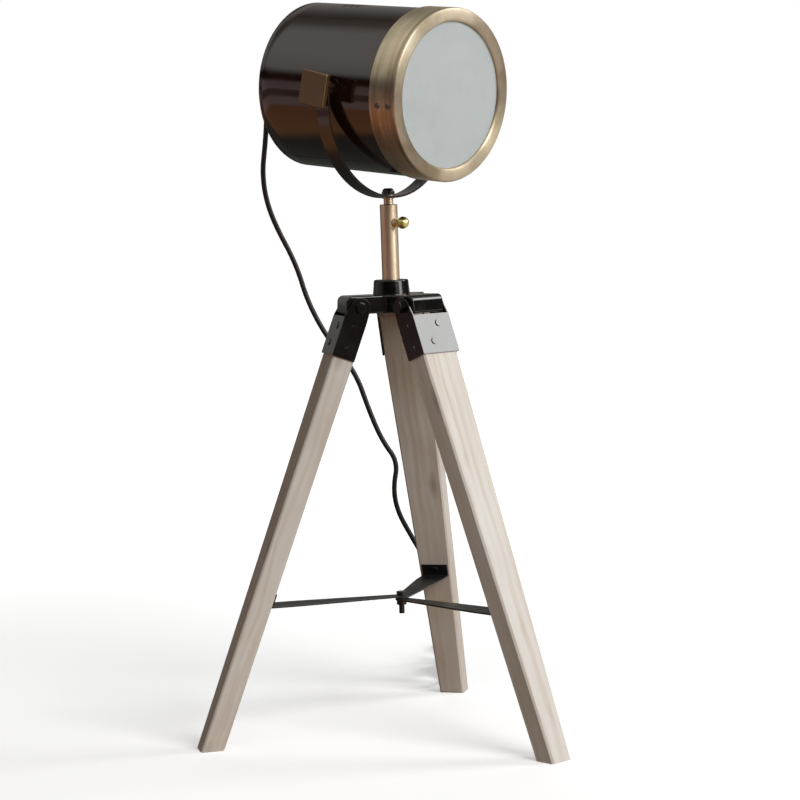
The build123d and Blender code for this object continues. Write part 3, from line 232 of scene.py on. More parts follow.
def finish_mesh(piece: Piece, smooth: float = 35.0, outward: bool = True) -> Piece:
    """Makes normals consistent and shades a piece smooth except over its creases.

    Args:
        piece: The piece.
        smooth: Angle in degrees above which an edge stays sharp.
        outward: Whether to recalculate the normals.

    Returns:
        The same piece.
    """
    only(piece)
    if outward:
        with editing(piece):
            bpy.ops.mesh.remove_doubles(threshold=WELD)
            bpy.ops.mesh.normals_make_consistent(inside=False)
    bpy.ops.object.shade_smooth_by_angle(angle=math.radians(smooth))
    return piece


def reshape(piece: Piece, kind: str, **settings: object) -> None:
    """Adds a modifier to a piece and applies it.

    Args:
        piece: The piece.
        kind: The modifier's type.
        settings: Its properties by name.
    """
    only(piece)
    modifier = piece.modifiers.new(kind.lower(), kind)
    for key, value in settings.items():
        setattr(modifier, key, value)
    bpy.ops.object.modifier_apply(modifier=modifier.name)


def cut(piece: Piece, cutter: Piece) -> None:
    """Takes one closed shape out of another and removes the cutter.

    Args:
        piece: What is cut.
        cutter: What is taken away.
    """
    reshape(piece, "BOOLEAN", object=cutter, operation="DIFFERENCE", solver="EXACT")
    bpy.data.objects.remove(cutter)


def join(name: str, pieces: Sequence[Piece]) -> Piece:
    """Joins pieces into one.

    Args:
        name: Name of the new piece.
        pieces: What is joined.

    Returns:
        The new piece.
    """
    only(*pieces)
    if len(pieces) > 1:
        bpy.ops.object.join()
    return name_new(name)


def turned(name: str, profile: Sequence[Span], place: Matrix, steps: int = 96,
           closed: bool = False) -> Piece:
    """Turned piece: a ring drawn up along its axis through a list of radii and heights.

    Args:
        name: Name of the piece.
        profile: Radius and height of each ring in millimetres, in order.
        place: Where the piece goes; it is turned about its own +Z.
        steps: Facets round the axis.
        closed: Whether the last ring joins the first, as in a tube with a wall; otherwise both ends
            are filled.

    Returns:
        The finished piece.
    """
    radius, height = profile[0]
    bpy.ops.object.select_all(action="DESELECT")
    bpy.ops.mesh.primitive_circle_add(vertices=steps, radius=radius * MM, fill_type="NOTHING",
                                      location=(0, 0, height * MM))
    piece = name_new(name)
    bpy.ops.object.transform_apply(location=True, rotation=False, scale=False)
    with editing(piece):
        bpy.ops.mesh.select_mode(type="EDGE")
        if not closed:
            bpy.ops.mesh.edge_face_add()
        for next_radius, next_height in profile[1:]:
            bpy.ops.mesh.extrude_edges_move(
                TRANSFORM_OT_translate={"value": (0, 0, (next_height - height) * MM)})
            share = next_radius / radius
            bpy.ops.transform.resize(value=(share, share, 1.0), center_override=(0, 0, 0))
            radius, height = next_radius, next_height
        if not closed:
            bpy.ops.mesh.edge_face_add()
    if closed:
        last = len(piece.data.vertices) - steps
        for edge in piece.data.edges:
            ends = sorted(edge.vertices)
            edge.select = ends[1] < steps or ends[0] >= last
        bpy.ops.object.mode_set(mode="EDIT")
        bpy.ops.mesh.bridge_edge_loops()
        bpy.ops.object.mode_set(mode="OBJECT")
    finish_mesh(piece)
    return settle(piece, place)


def softened(node: str, name: str, width: float) -> Piece:
    """Copy of a solid with its edges rounded, which stands for the solid.

    Args:
        node: Name of the solid.
        name: Name of the new piece.
        width: Width of the rounding in millimetres.

    Returns:
        The new piece, riding on the solid's body.
    """
    source = frame["nodes"][node]
    only(source)
    bpy.ops.object.duplicate()
    piece = name_new(name)
    piece.parent = None
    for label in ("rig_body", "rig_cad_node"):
        del piece[label]
    with editing(piece):
        bpy.ops.mesh.customdata_custom_splitnormals_clear()
        bpy.ops.mesh.remove_doubles(threshold=2 * WELD)
        bpy.ops.mesh.dissolve_limited(angle_limit=math.radians(FLAT_WITHIN))
        bpy.ops.mesh.select_all(action="DESELECT")
    reshape(piece, "BEVEL", width=width * MM, segments=2, limit_method="ANGLE",
            angle_limit=math.radians(ROUNDED_OVER), use_clamp_overlap=True)
    finish_mesh(piece, 40.0, outward=False)
    reshape(piece, "WEIGHTED_NORMAL", mode="FACE_AREA", weight=100, keep_sharp=True)
    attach(piece, source["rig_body"])
    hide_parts(node)
    return piece


def dress(piece: Piece, finish: bpy.types.Material) -> Piece:
    """Gives a piece its finish.

    Args:
        piece: The piece.
        finish: Its material.

    Returns:
        The same piece.
    """
    piece.data.materials.clear()
    piece.data.materials.append(finish)
    log.info("dressed %s in %s", piece.name, finish.name)
    return piece


# ---------------------------------------------------------------- shader kit


@dataclass
class Sheet:
    """A node tree that is being drawn."""

    tree: bpy.types.NodeTree

    def add(self, kind: str, **settings: object) -> Node:
        """Adds a node.

        Args:
            kind: Its type without the ShaderNode prefix.
            settings: Properties by name, and a dictionary called inputs with what feeds it.

        Returns:
            The node.
        """
        node = self.tree.nodes.new(kind if kind.startswith("NodeGroup") else "ShaderNode" + kind)
        inputs = settings.pop("inputs", {})
        for key, value in settings.items():
            setattr(node, key, value)
        for key, value in inputs.items():
            self.feed(value, node.inputs[key])
        return node

    def feed(self, value: object, target: Socket) -> None:
        """Feeds a socket.

        Args:
            value: Another socket, or a plain value.
            target: The socket.
        """
        if isinstance(value, Socket):
            self.tree.links.new(value, target)
        else:
            target.default_value = (*value, 1.0) if target.type == "RGBA" else value

    def noise(self, vector: Socket, scale: Socket | float, detail: float = 2.0,
              roughness: float = 0.5) -> Socket:
        """Noise between 0 and 1 over some coordinates."""
        return self.add("TexNoise", inputs={"Vector": vector, "Scale": scale, "Detail": detail,
                                            "Roughness": roughness}).outputs["Fac"]

    def ramp(self, value: Socket, stops: Sequence[Stop]) -> Socket:
        """Colour ramp over a value.

        Args:
            value: The value, from 0 to 1.
            stops: The ramp's colours.

        Returns:
            The colour.
        """
        node = self.add("ValToRGB", inputs={"Fac": value})
        elements = node.color_ramp.elements
        while len(elements) < len(stops):
            elements.new(0.5)
        for element, (position, colour) in zip(elements, stops):
            element.position = position
            element.color = (*colour, 1.0)
        return node.outputs["Color"]

    def spread(self, value: Socket, low: float, high: float, to_low: float = 0.0,
               to_high: float = 1.0) -> Socket:
        """Part of a value's range spread over another range, clamped."""
        return self.add("MapRange", inputs={"Value": value, "From Min": low, "From Max": high,
                                            "To Min": to_low, "To Max": to_high}).outputs["Result"]

    def blend(self, share: Socket | float, first: Socket | Colour, second: Socket | Colour,
              how: str = "MIX") -> Socket:
        """Mix of two colours."""
        return self.add("Mix", data_type="RGBA", blend_type=how,
                        inputs={0: share, 6: first, 7: second}).outputs[2]

    def maths(self, how: str, first: Socket | float, second: Socket | float) -> Socket:
        """Sum, product or other operation on two values."""
        return self.add("Math", operation=how, inputs={0: first, 1: second}).outputs[0]

    def vector(self, how: str, *inputs: Socket | Vector | Spot) -> Socket:
        """Sum, product or other operation on vectors. A length or a dot product is a value."""
        node = self.add("VectorMath", operation=how, inputs=dict(enumerate(inputs)))
        return node.outputs["Value" if how in ("LENGTH", "DOT_PRODUCT") else "Vector"]

    def scaled(self, vector: Socket, scale: Spot) -> Socket:
        """Coordinates scaled along each axis."""
        return self.add("Mapping", inputs={"Vector": vector, "Scale": scale}).outputs["Vector"]


def new_group(name: str, inputs: Sequence[tuple[str, str, object]],
              outputs: Sequence[tuple[str, str]]) -> tuple[Sheet, Node, Node]:
    """Empty shader group with named inputs and outputs.

    Args:
        name: Name of the group.
        inputs: Name, socket type and default of each input.
        outputs: Name and socket type of each output.

    Returns:
        The group's sheet, its input node and its output node.
    """
    tree = bpy.data.node_groups.new(name, "ShaderNodeTree")
    for label, kind, default in inputs:
        socket = tree.interface.new_socket(label, in_out="INPUT", socket_type="NodeSocket" + kind)
        if default is not None:
            socket.default_value = default
    for label, kind in outputs:
        tree.interface.new_socket(label, in_out="OUTPUT", socket_type="NodeSocket" + kind)
    sheet = Sheet(tree)
    return sheet, sheet.add("NodeGroupInput"), sheet.add("NodeGroupOutput")


def smudge_group() -> bpy.types.NodeTree:
    """Group that puts out a soft mask of finger marks and dust, and a fine unevenness."""
    sheet, taken, given = new_group(
        "smudges", [("Vector", "Vector", None), ("Scale", "Float", 60.0)],
        [("Smudge", "Float"), ("Unevenness", "Float")])
    vector, scale = taken.outputs["Vector"], taken.outputs["Scale"]
    broad = sheet.noise(vector, scale, 4.0, 0.6)
    sheet.feed(sheet.spread(broad, 0.42, 0.7), given.inputs["Smudge"])
    fine = sheet.noise(vector, sheet.maths("MULTIPLY", scale, 14.0))
    sheet.feed(fine, given.inputs["Unevenness"])
    return sheet.tree


def edge_wear_and_highlight_group() -> bpy.types.NodeTree:
    """Group that puts out a mask of edges, broken up by noise, for rubbed wear and for painted edge
    highlights.
    """
    sheet, taken, given = new_group(
        "edge wear and highlight", [("Vector", "Vector", None), ("Reach", "Float", 0.0008)], [("Wear", "Float")])
    rounded = sheet.add("Bevel", samples=4, inputs={"Radius": taken.outputs["Reach"]})
    alike = sheet.vector("DOT_PRODUCT", sheet.add("NewGeometry").outputs["Normal"],
                         rounded.outputs["Normal"])
    breaks = sheet.spread(sheet.noise(taken.outputs["Vector"], 220.0, 4.0, 0.55), 0.36, 0.56)
    edge = sheet.spread(alike, 0.99, 0.90)
    sheet.feed(sheet.maths("MULTIPLY", edge, breaks), given.inputs["Wear"])
    return sheet.tree


def brushed_group() -> bpy.types.NodeTree:
    """Group that puts out fine lines along one direction, for brushed or turned metal."""
    sheet, taken, given = new_group(
        "brushed lines", [("Vector", "Vector", None), ("Scale", "Float", 1.0)],
        [("Lines", "Float"), ("Broad", "Float")])
    vector, scale = taken.outputs["Vector"], taken.outputs["Scale"]
    sheet.feed(sheet.noise(vector, scale, 3.0, 0.7), given.inputs["Lines"])
    broad = sheet.noise(vector, sheet.maths("MULTIPLY", scale, 0.15))
    sheet.feed(broad, given.inputs["Broad"])
    return sheet.tree


SMUDGES = smudge_group()
EDGE_WEAR_AND_HIGHLIGHT = edge_wear_and_highlight_group()
BRUSHED = brushed_group()


def start_material(name: str, metallic: float, roughness: float) -> tuple[Sheet, Node, Socket]:
    """New material with a Principled shader.

    Args:
        name: Name of the material.
        metallic: Plain metallic value.
        roughness: Plain roughness.

    Returns:
        The sheet, the shader node and the Object coordinates.
    """
    material = bpy.data.materials.new(name)
    material.use_nodes = True
    sheet = Sheet(material.node_tree)
    shader = sheet.tree.nodes["Principled BSDF"]
    shader.inputs["Metallic"].default_value = metallic
    shader.inputs["Roughness"].default_value = roughness
    coordinates = sheet.add("TexCoord").outputs["Object"]
    return sheet, shader, coordinates


def place_group(sheet: Sheet, group: bpy.types.NodeTree, coordinates: Socket,
                **values: float) -> Node:
    """Places a shader group in a material, fed by coordinates."""
    return sheet.add("Group", node_tree=group, inputs={"Vector": coordinates, **values})


def add_bump(sheet: Sheet, shader: Node, height: Socket, strength: float, distance: float) -> None:
    """Feeds a bump made from a height into a shader."""
    bump = sheet.add("Bump", inputs={"Height": height, "Strength": strength,
                                     "Distance": distance * MM})
    sheet.feed(bump.outputs["Normal"], shader.inputs["Normal"])


def aligned(sheet: Sheet, coordinates: Socket, turn: Matrix, scale: Spot) -> Socket:
    """Coordinates measured along a piece's own axes, then scaled.

    Args:
        sheet: The material's sheet.
        coordinates: Object coordinates.
        turn: The piece's placing matrix.
        scale: Scale along the piece's own axes.

    Returns:
        The new coordinates.
    """
    back = turn.inverted()
    own = sheet.add("Mapping", inputs={"Vector": coordinates, "Location": back.to_translation(),
                                       "Rotation": back.to_euler()})
    return sheet.scaled(own.outputs["Vector"], scale)


# ---------------------------------------------------------------- finishes


@dataclass(frozen=True)
class Smooth:
    """Enamel, plastic or glass: one colour with smudges, a slight orange peel and a paler colour on
    its edges, which is rubbed wear and, on the olive knobs and the strap, also a painted highlight.
    """

    name: str
    colour: Colour
    roughness: float = 0.3
    smudged_roughness: float = 0.45
    peel: float = 0.04
    peel_strength: float = 0.25
    # edge colour and its share: rubbed wear, and on the olive knobs and the strap also a painted
    # highlight along the edges
    worn_and_highlight_colour: Colour = srgb(120, 115, 108)
    wear: float = 0.0
    coat: float = 0.0
    metallic: float = 0.0
    mark_scale: float = 60.0
    dust: float = 1.3
    shine: float = 0.5
    transmission: float = 0.0

    def build(self) -> bpy.types.Material:
        """Draws the material."""
        sheet, shader, coordinates = start_material(self.name, self.metallic, self.roughness)
        marks = place_group(sheet, SMUDGES, coordinates, Scale=self.mark_scale)
        edge_mask = place_group(sheet, EDGE_WEAR_AND_HIGHLIGHT, coordinates)
        dusty = tuple(channel * self.dust for channel in self.colour)
        base = sheet.blend(marks.outputs["Smudge"], self.colour, dusty)
        # paints the edge colour along every edge: rubbed wear, and on the olive knobs and the strap
        # a painted highlight as well
        share = sheet.maths("MULTIPLY", edge_mask.outputs["Wear"], self.wear)
        sheet.feed(sheet.blend(share, base, self.worn_and_highlight_colour), shader.inputs["Base Color"])
        sheet.feed(sheet.spread(marks.outputs["Smudge"], 0.0, 1.0, self.roughness,
                                self.smudged_roughness), shader.inputs["Roughness"])
        shader.inputs["Specular IOR Level"].default_value = self.shine
        shader.inputs["Coat Weight"].default_value = self.coat
        shader.inputs["Coat Roughness"].default_value = self.roughness * 0.4
        shader.inputs["Transmission Weight"].default_value = self.transmission
        add_bump(sheet, shader, marks.outputs["Unevenness"], self.peel_strength, self.peel)
        return bpy.data.materials[self.name]


@dataclass(frozen=True)
class Brushed:
    """Metal with fine lines along one way of a piece."""

    name: str
    light: Colour
    dark: Colour
    place: Matrix
    scale: Spot
    roughness: float = 0.3
    roughness_spread: float = 0.15
    bump: float = 0.02
    tarnish: Colour | None = None
    tarnish_share: float = 0.5
    streak: float = 0.0  # how far highlights stretch across lines that run round the place's Z axis

    def build(self) -> bpy.types.Material:
        """Draws the material."""
        sheet, shader, coordinates = start_material(self.name, 1.0, self.roughness)
        if self.streak > 0.0:
            self.stretch(sheet, shader, coordinates)
        along = aligned(sheet, coordinates, self.place, self.scale)
        lines = place_group(sheet, BRUSHED, along, Scale=1.0)
        mixed = sheet.maths("ADD", sheet.maths("MULTIPLY", lines.outputs["Lines"], 0.6),
                            sheet.maths("MULTIPLY", lines.outputs["Broad"], 0.4))
        share = sheet.spread(mixed, 0.36, 0.64)
        base = sheet.blend(share, self.dark, self.light)
        if self.tarnish is not None:
            marks = place_group(sheet, SMUDGES, coordinates, Scale=45.0)
            amount = sheet.maths("MULTIPLY", marks.outputs["Smudge"], self.tarnish_share)
            base = sheet.blend(amount, base, self.tarnish)
        sheet.feed(base, shader.inputs["Base Color"])
        sheet.feed(sheet.spread(share, 0.0, 1.0, self.roughness + self.roughness_spread,
                                self.roughness), shader.inputs["Roughness"])
        add_bump(sheet, shader, lines.outputs["Lines"], 0.3, self.bump)
        return bpy.data.materials[self.name]

    def stretch(self, sheet: Sheet, shader: Node, coordinates: Socket) -> None:
        """Stretches highlights across lines that run round the place's Z axis.

        Args:
            sheet: The material's sheet.
            shader: Its shader.
            coordinates: Object coordinates.
        """
        offset = sheet.vector("SUBTRACT", coordinates, self.place.to_translation())
        round_axis = sheet.vector("CROSS_PRODUCT", self.place.to_3x3().col[2], offset)
        tangent = sheet.add("VectorTransform", vector_type="VECTOR", convert_from="OBJECT",
                            convert_to="WORLD", inputs={"Vector": round_axis})
        sheet.feed(tangent.outputs["Vector"], shader.inputs["Tangent"])
        shader.inputs["Anisotropic"].default_value = self.streak
        shader.inputs["Anisotropic Rotation"].default_value = 0.25


@dataclass(frozen=True)
class WeatheredWood:
    """Bleached, waxed board: pale with brown grain, darker pores and rubbed pale edges."""

    name: str
    place: Matrix
    seed: float
    wash: float = 0.2  # how much of the brown below the bleach shows
    pale: Colour = srgb(216, 213, 207)
    warm: Colour = srgb(206, 196, 183)
    brown: Colour = srgb(184, 164, 145)
    dark: Colour = srgb(120, 94, 76)
    bare: Colour = srgb(228, 224, 217)

    def build(self) -> bpy.types.Material:
        """Draws the material."""
        sheet, shader, coordinates = start_material(self.name, 0.0, 0.55)
        moved = sheet.vector("ADD", coordinates, (self.seed, self.seed * 0.7, self.seed * 0.3))
        board = aligned(sheet, moved, self.place, (1.0, 1.0, 1.0))
        bend = sheet.add("TexNoise", inputs={"Vector": board, "Scale": 9.0, "Detail": 2.0})
        bent = sheet.vector("MULTIPLY_ADD", bend.outputs["Color"], (0.012, 0.012, 0.0), board)
        grain = sheet.noise(sheet.scaled(bent, (190.0, 190.0, 3.6)), 1.0, 4.0)
        pores = sheet.noise(sheet.scaled(bent, (1100.0, 1100.0, 16.0)), 1.0, 4.0, 0.7)
        patches = sheet.noise(sheet.scaled(board, (26.0, 26.0, 6.0)), 1.0, 3.0)
        broad = sheet.noise(board, 16.0)
        knots = sheet.add("TexVoronoi", feature="F1", inputs={
            "Vector": sheet.scaled(bent, (34.0, 34.0, 11.0)), "Scale": 1.0, "Randomness": 1.0})
        edge_mask = place_group(sheet, EDGE_WEAR_AND_HIGHLIGHT, coordinates, Reach=0.0015)
        base = sheet.ramp(grain, [(0.18, self.brown), (0.36, self.warm), (0.54, self.pale),
                                  (0.75, self.pale)])
        for share, colour in (
                (sheet.spread(patches, 0.42, 0.72, 0.0, 0.6), self.warm),
                (sheet.spread(broad, 0.35, 0.65, self.wash * 0.4, self.wash * 1.6), self.brown),
                (sheet.spread(pores, 0.64, 0.78, 0.0, 0.22), self.brown),
                (sheet.spread(knots.outputs["Distance"], 0.04, 0.2, 0.45, 0.0), self.dark),
                (sheet.maths("MULTIPLY", edge_mask.outputs["Wear"], 0.5), self.bare)):
            base = sheet.blend(share, base, colour)
        sheet.feed(base, shader.inputs["Base Color"])
        sheet.feed(sheet.spread(pores, 0.4, 0.8, 0.5, 0.75), shader.inputs["Roughness"])
        height = sheet.maths("ADD", grain, sheet.maths("MULTIPLY", pores, -0.7))
        add_bump(sheet, shader, height, 0.35, 0.35)
        return bpy.data.materials[self.name]


# ---------------------------------------------------------------- studio


@dataclass(frozen=True)
class Panel:
    """Soft light: how it stands round the post, as the camera sees it, and how bright it is."""

    name: str
    side: float  # degrees to the right of the camera
    elevation: float
    distance: float
    wide: float
    tall: float
    radiance: float
    aim_height: float = 0.35
    colour: Colour = (1.0, 1.0, 1.0)
    mirrored: bool = True  # whether shiny pieces show it
    lit: bool = True  # whether it lights pieces that aren't shiny


@dataclass
class Studio:
    """Camera, floor and lights."""

    lens: float = 106.27
    distance: float = 2.11207
    height: float = 0.47818
    pitch: float = math.radians(4.763)
    yaw: float = math.radians(0.122)
    roll: float = math.radians(-1.886)
    turn: float = math.radians(-44.21)
    floor_size: float = 60.0  # as far as the camera sees
    floor_colour: Colour = srgb(246, 246, 246)
    floor_bounce: Colour = srgb(150, 128, 110)
    floor_lift: Span = (0.40, 0.74)  # near the lamp and far from it
    lift_reach: Span = (0.4, 2.4)  # metres from the lamp that count as near and far
    floor_mirrored: tuple[Stop, ...] = (
        (0.46, srgb(124, 78, 60)),
        (0.58, srgb(118, 70, 50)),
        (0.68, srgb(64, 58, 52)),
        (0.90, srgb(42, 44, 41)),
    )
    glint_reach: float = 5.0  # metres of floor that the two rows of stops below span
    glint_left: tuple[Stop, ...] = (
        (0.15, (0.05, 0.055, 0.05)),
        (0.175, (0.44, 0.21, 0.09)),
        (0.40, (0.42, 0.18, 0.11)),
        (0.46, (0.50, 0.37, 0.36)),
        (0.80, (0.48, 0.36, 0.35)),
        (0.96, (0.12, 0.09, 0.09)),
    )
    glint_right: tuple[Stop, ...] = (
        (0.05, (0.60, 0.59, 0.56)),
        (0.40, (0.80, 0.79, 0.76)),
        (0.62, (0.80, 0.79, 0.76)),
        (0.84, (0.60, 0.59, 0.57)),
    )
    right_begins: Span = (0.48, 0.62)  # shares of the way right; the left stops end there
    left_ends: Span = (0.74, 0.80)  # shares of the way behind where the left stops go dark
    front_dark: Span = (0.30, 0.12)  # shares of the way behind where the front floor goes dark
    front_reach: Span = (0.4, 0.7)  # and from how far out, as a share of the glint's reach
    backdrop_glint: Colour = (0.20, 0.195, 0.185)
    backdrop_begins: Span = (0.80, 0.90)
    glow: Colour = (0.06, 0.057, 0.054)
    mirrored_bands: tuple[Stop, ...] = (
        (0.50, (0.14, 0.10, 0.11)),
        (0.53, (0.02, 0.015, 0.012)),
        (0.62, (0.02, 0.016, 0.014)),
        (0.67, (0.90, 0.86, 0.80)),
        (0.80, (1.05, 1.02, 0.96)),
        (0.95, (0.9, 0.9, 0.86)),
    )
    mirrored_left: tuple[Stop, ...] = (
        (0.50, (0.42, 0.32, 0.32)),
        (0.555, (0.42, 0.31, 0.31)),
        (0.575, (0.0, 0.0, 0.0)),
    )
    left_wall: Span = (0.12, 0.05)  # shares of the way right where the stops above come in
    mirrored_sides: tuple[Stop, ...] = (
        (0.50, (0.88, 0.88, 0.88)),
        (0.66, (0.68, 0.67, 0.66)),
        (0.73, (0.22, 0.21, 0.20)),
        (0.80, (0.08, 0.08, 0.075)),
    )
    sun_side: float = 38.0
    sun_elevation: float = 27.0
    sun_spread: float = 34.0
    sun_strength: float = 2.15
    panels: tuple[Panel, ...] = (
        Panel("over", 10.0, 72.0, 2.0, 1.4, 1.4, 0.5),
        Panel("side", 96.0, 24.0, 2.2, 0.84, 0.84, 7.8),
        Panel("front", 62.0, 10.0, 2.4, 0.9, 0.9, 5.5, aim_height=0.55, lit=False),
        Panel("fill", -50.0, 10.0, 2.6, 1.2, 1.4, 0.7, colour=(1.0, 0.80, 0.66), mirrored=False),
        Panel("back", 178.0, 40.0, 2.4, 1.4, 1.2, 1.0, mirrored=False),
    )

    def place_camera(self) -> None:
        """Stands the camera where the lamp is seen from the front right leg's side."""
        forward = Vector((math.sin(self.yaw) * math.cos(self.pitch),
                          math.cos(self.yaw) * math.cos(self.pitch), -math.sin(self.pitch)))
        level = Vector((math.cos(self.yaw), -math.sin(self.yaw), 0.0))
        upright = level.cross(forward)
        right = level * math.cos(self.roll) + upright * math.sin(self.roll)
        spot = Vector((0.0, -self.distance, self.height))
        around = Matrix.Translation(POST) @ Matrix.Rotation(self.turn, 4, "Z")
        data = bpy.data.cameras.new("camera")
        data.lens = self.lens
        data.sensor_width = 36.0
        data.clip_end = self.floor_size
        place = around @ basis(spot, right, -forward)
        bpy.context.scene.camera = linked("camera", data, place)

    def lay_floor(self) -> None:
        """Lays a pale floor that is white to the camera and keeps soft shadows."""
        bpy.ops.object.select_all(action="DESELECT")
        bpy.ops.mesh.primitive_plane_add(size=self.floor_size, location=(0, 0, 0))
        floor = name_new("floor")
        sheet, shader, coordinates = start_material("floor white", 0.0, 0.9)
        shader.inputs["Specular IOR Level"].default_value = 0.0
        path = sheet.add("LightPath")
        in_camera, in_mirror = path.outputs["Is Camera Ray"], path.outputs["Is Glossy Ray"]
        rearward = self.share_towards(sheet, coordinates)
        rightward = self.share_towards(sheet, coordinates, -90.0)
        mirrored = sheet.ramp(rearward, self.floor_mirrored)
        unseen = sheet.blend(in_mirror, self.floor_bounce, mirrored)
        sheet.feed(sheet.blend(in_camera, unseen, self.floor_colour), shader.inputs["Base Color"])
        away = sheet.vector("LENGTH", coordinates)
        reach = sheet.spread(away, 0.0, self.glint_reach)
        dark = self.glint_left[0][1]
        left = sheet.blend(sheet.spread(rearward, *self.left_ends),
                           sheet.ramp(reach, self.glint_left), dark)
        glint = sheet.blend(sheet.spread(rightward, *self.right_begins), left,
                            sheet.ramp(reach, self.glint_right))
        in_front = sheet.maths("MULTIPLY", sheet.spread(rearward, *self.front_dark),
                               sheet.spread(reach, *self.front_reach))
        glint = sheet.blend(in_front, glint, dark)
        sheet.feed(sheet.blend(in_camera, glint, WHITE), shader.inputs["Emission Color"])
        lift = sheet.spread(away, *self.lift_reach, *self.floor_lift)
        seen = sheet.maths("MULTIPLY", in_camera, lift)
        sheet.feed(sheet.maths("ADD", seen, in_mirror), shader.inputs["Emission Strength"])
        floor.data.materials.append(bpy.data.materials["floor white"])

    def share_towards(self, sheet: Sheet, vector: Socket, turned_by: float = 0.0) -> Socket:
        """How far a vector points one level way: 0 against it, 0.5 across it and 1 along it.

        Args:
            sheet: Node tree that it is drawn in.
            vector: The vector.
            turned_by: Degrees to the left from straight behind the lamp, as the camera sees it.

        Returns:
            The share, from 0 to 1.
        """
        heading = self.turn + self.yaw + math.radians(turned_by)
        way = Matrix.Rotation(heading, 3, "Z") @ Vector((0.0, 1.0, 0.0))
        along = sheet.vector("DOT_PRODUCT", sheet.vector("NORMALIZE", vector), way)
        return sheet.spread(along, -1.0, 1.0)

    def surround(self) -> None:
        """Sets a surround that is white to the camera and banded in reflections."""
        world = bpy.data.worlds.new("surround")
        bpy.context.scene.world = world
        world.use_nodes = True
        sheet = Sheet(world.node_tree)
        path = sheet.add("LightPath")
        direction = sheet.add("TexCoord").outputs["Generated"]
        apart = sheet.add("SeparateXYZ", inputs={"Vector": direction})
        height = sheet.spread(apart.outputs["Z"], -1.0, 1.0)
        rearward = self.share_towards(sheet, direction)
        rightward = self.share_towards(sheet, direction, -90.0)
        mirrored = sheet.blend(1.0, sheet.ramp(height, self.mirrored_bands),
                               sheet.ramp(rearward, self.mirrored_sides), "MULTIPLY")
        mirrored = sheet.blend(sheet.spread(rightward, *self.left_wall), mirrored,
                               sheet.ramp(height, self.mirrored_left), "ADD")
        mirrored = sheet.blend(sheet.spread(rearward, *self.backdrop_begins), mirrored,
                               self.backdrop_glint)
        shown = sheet.blend(path.outputs["Is Glossy Ray"], self.glow, mirrored)
        seen = sheet.maths("MAXIMUM", path.outputs["Is Camera Ray"],
                           path.outputs["Is Transmission Ray"])
        sheet.feed(sheet.blend(seen, shown, WHITE), sheet.tree.nodes["Background"].inputs["Color"])

    def towards(self, side: float, elevation: float) -> Vector:
        """Unit vector to a light.

        Args:
            side: Degrees to the right of the camera.
            elevation: Degrees over the floor.

        Returns:
            The vector.
        """
        azimuth = math.degrees(self.turn) - 90.0 + side
        level = math.radians(elevation)
        return out_of(azimuth) * math.cos(level) + UP * math.sin(level)

    def light(self) -> None:
        """Hangs the broad soft sun and the soft panels."""
        data = bpy.data.lights.new("key", "SUN")
        data.energy = self.sun_strength
        data.angle = math.radians(self.sun_spread)
        linked("key", data, facing(-self.towards(self.sun_side, self.sun_elevation)))
        for panel in self.panels:
            middle = POST + UP * panel.aim_height
            spot = middle + self.towards(panel.side, panel.elevation) * panel.distance
            data = bpy.data.lights.new(panel.name, "AREA")
            data.shape = "RECTANGLE"
            data.size = panel.wide
            data.size_y = panel.tall
            data.energy = panel.radiance * math.pi * panel.wide * panel.tall
            data.color = panel.colour
            lamp = linked(panel.name, data, Matrix.Translation(spot) @ facing(middle - spot))
            lamp.visible_glossy = panel.mirrored
            lamp.visible_diffuse = panel.lit

    def build(self) -> None:
        """Sets up the camera, the floor, the lights and the plain view."""
        self.place_camera()
        self.lay_floor()
        self.surround()
        self.light()
        bpy.context.scene.view_settings.view_transform = "Standard"


# ---------------------------------------------------------------- mains cord


def route(*corners: Spot) -> list[Vector]:
    """Corners of a cord's route, given in millimetres."""
    return [Vector(corner) * MM for corner in corners]


@dataclass
class CordLength:
    """One length of cord as it is made."""

    piece: Piece
    path: list[Vector]

    @property
    def reach(self) -> float:
        """How long it is along its path, in metres."""
        return sum((b - a).length for a, b in zip(self.path, self.path[1:]))


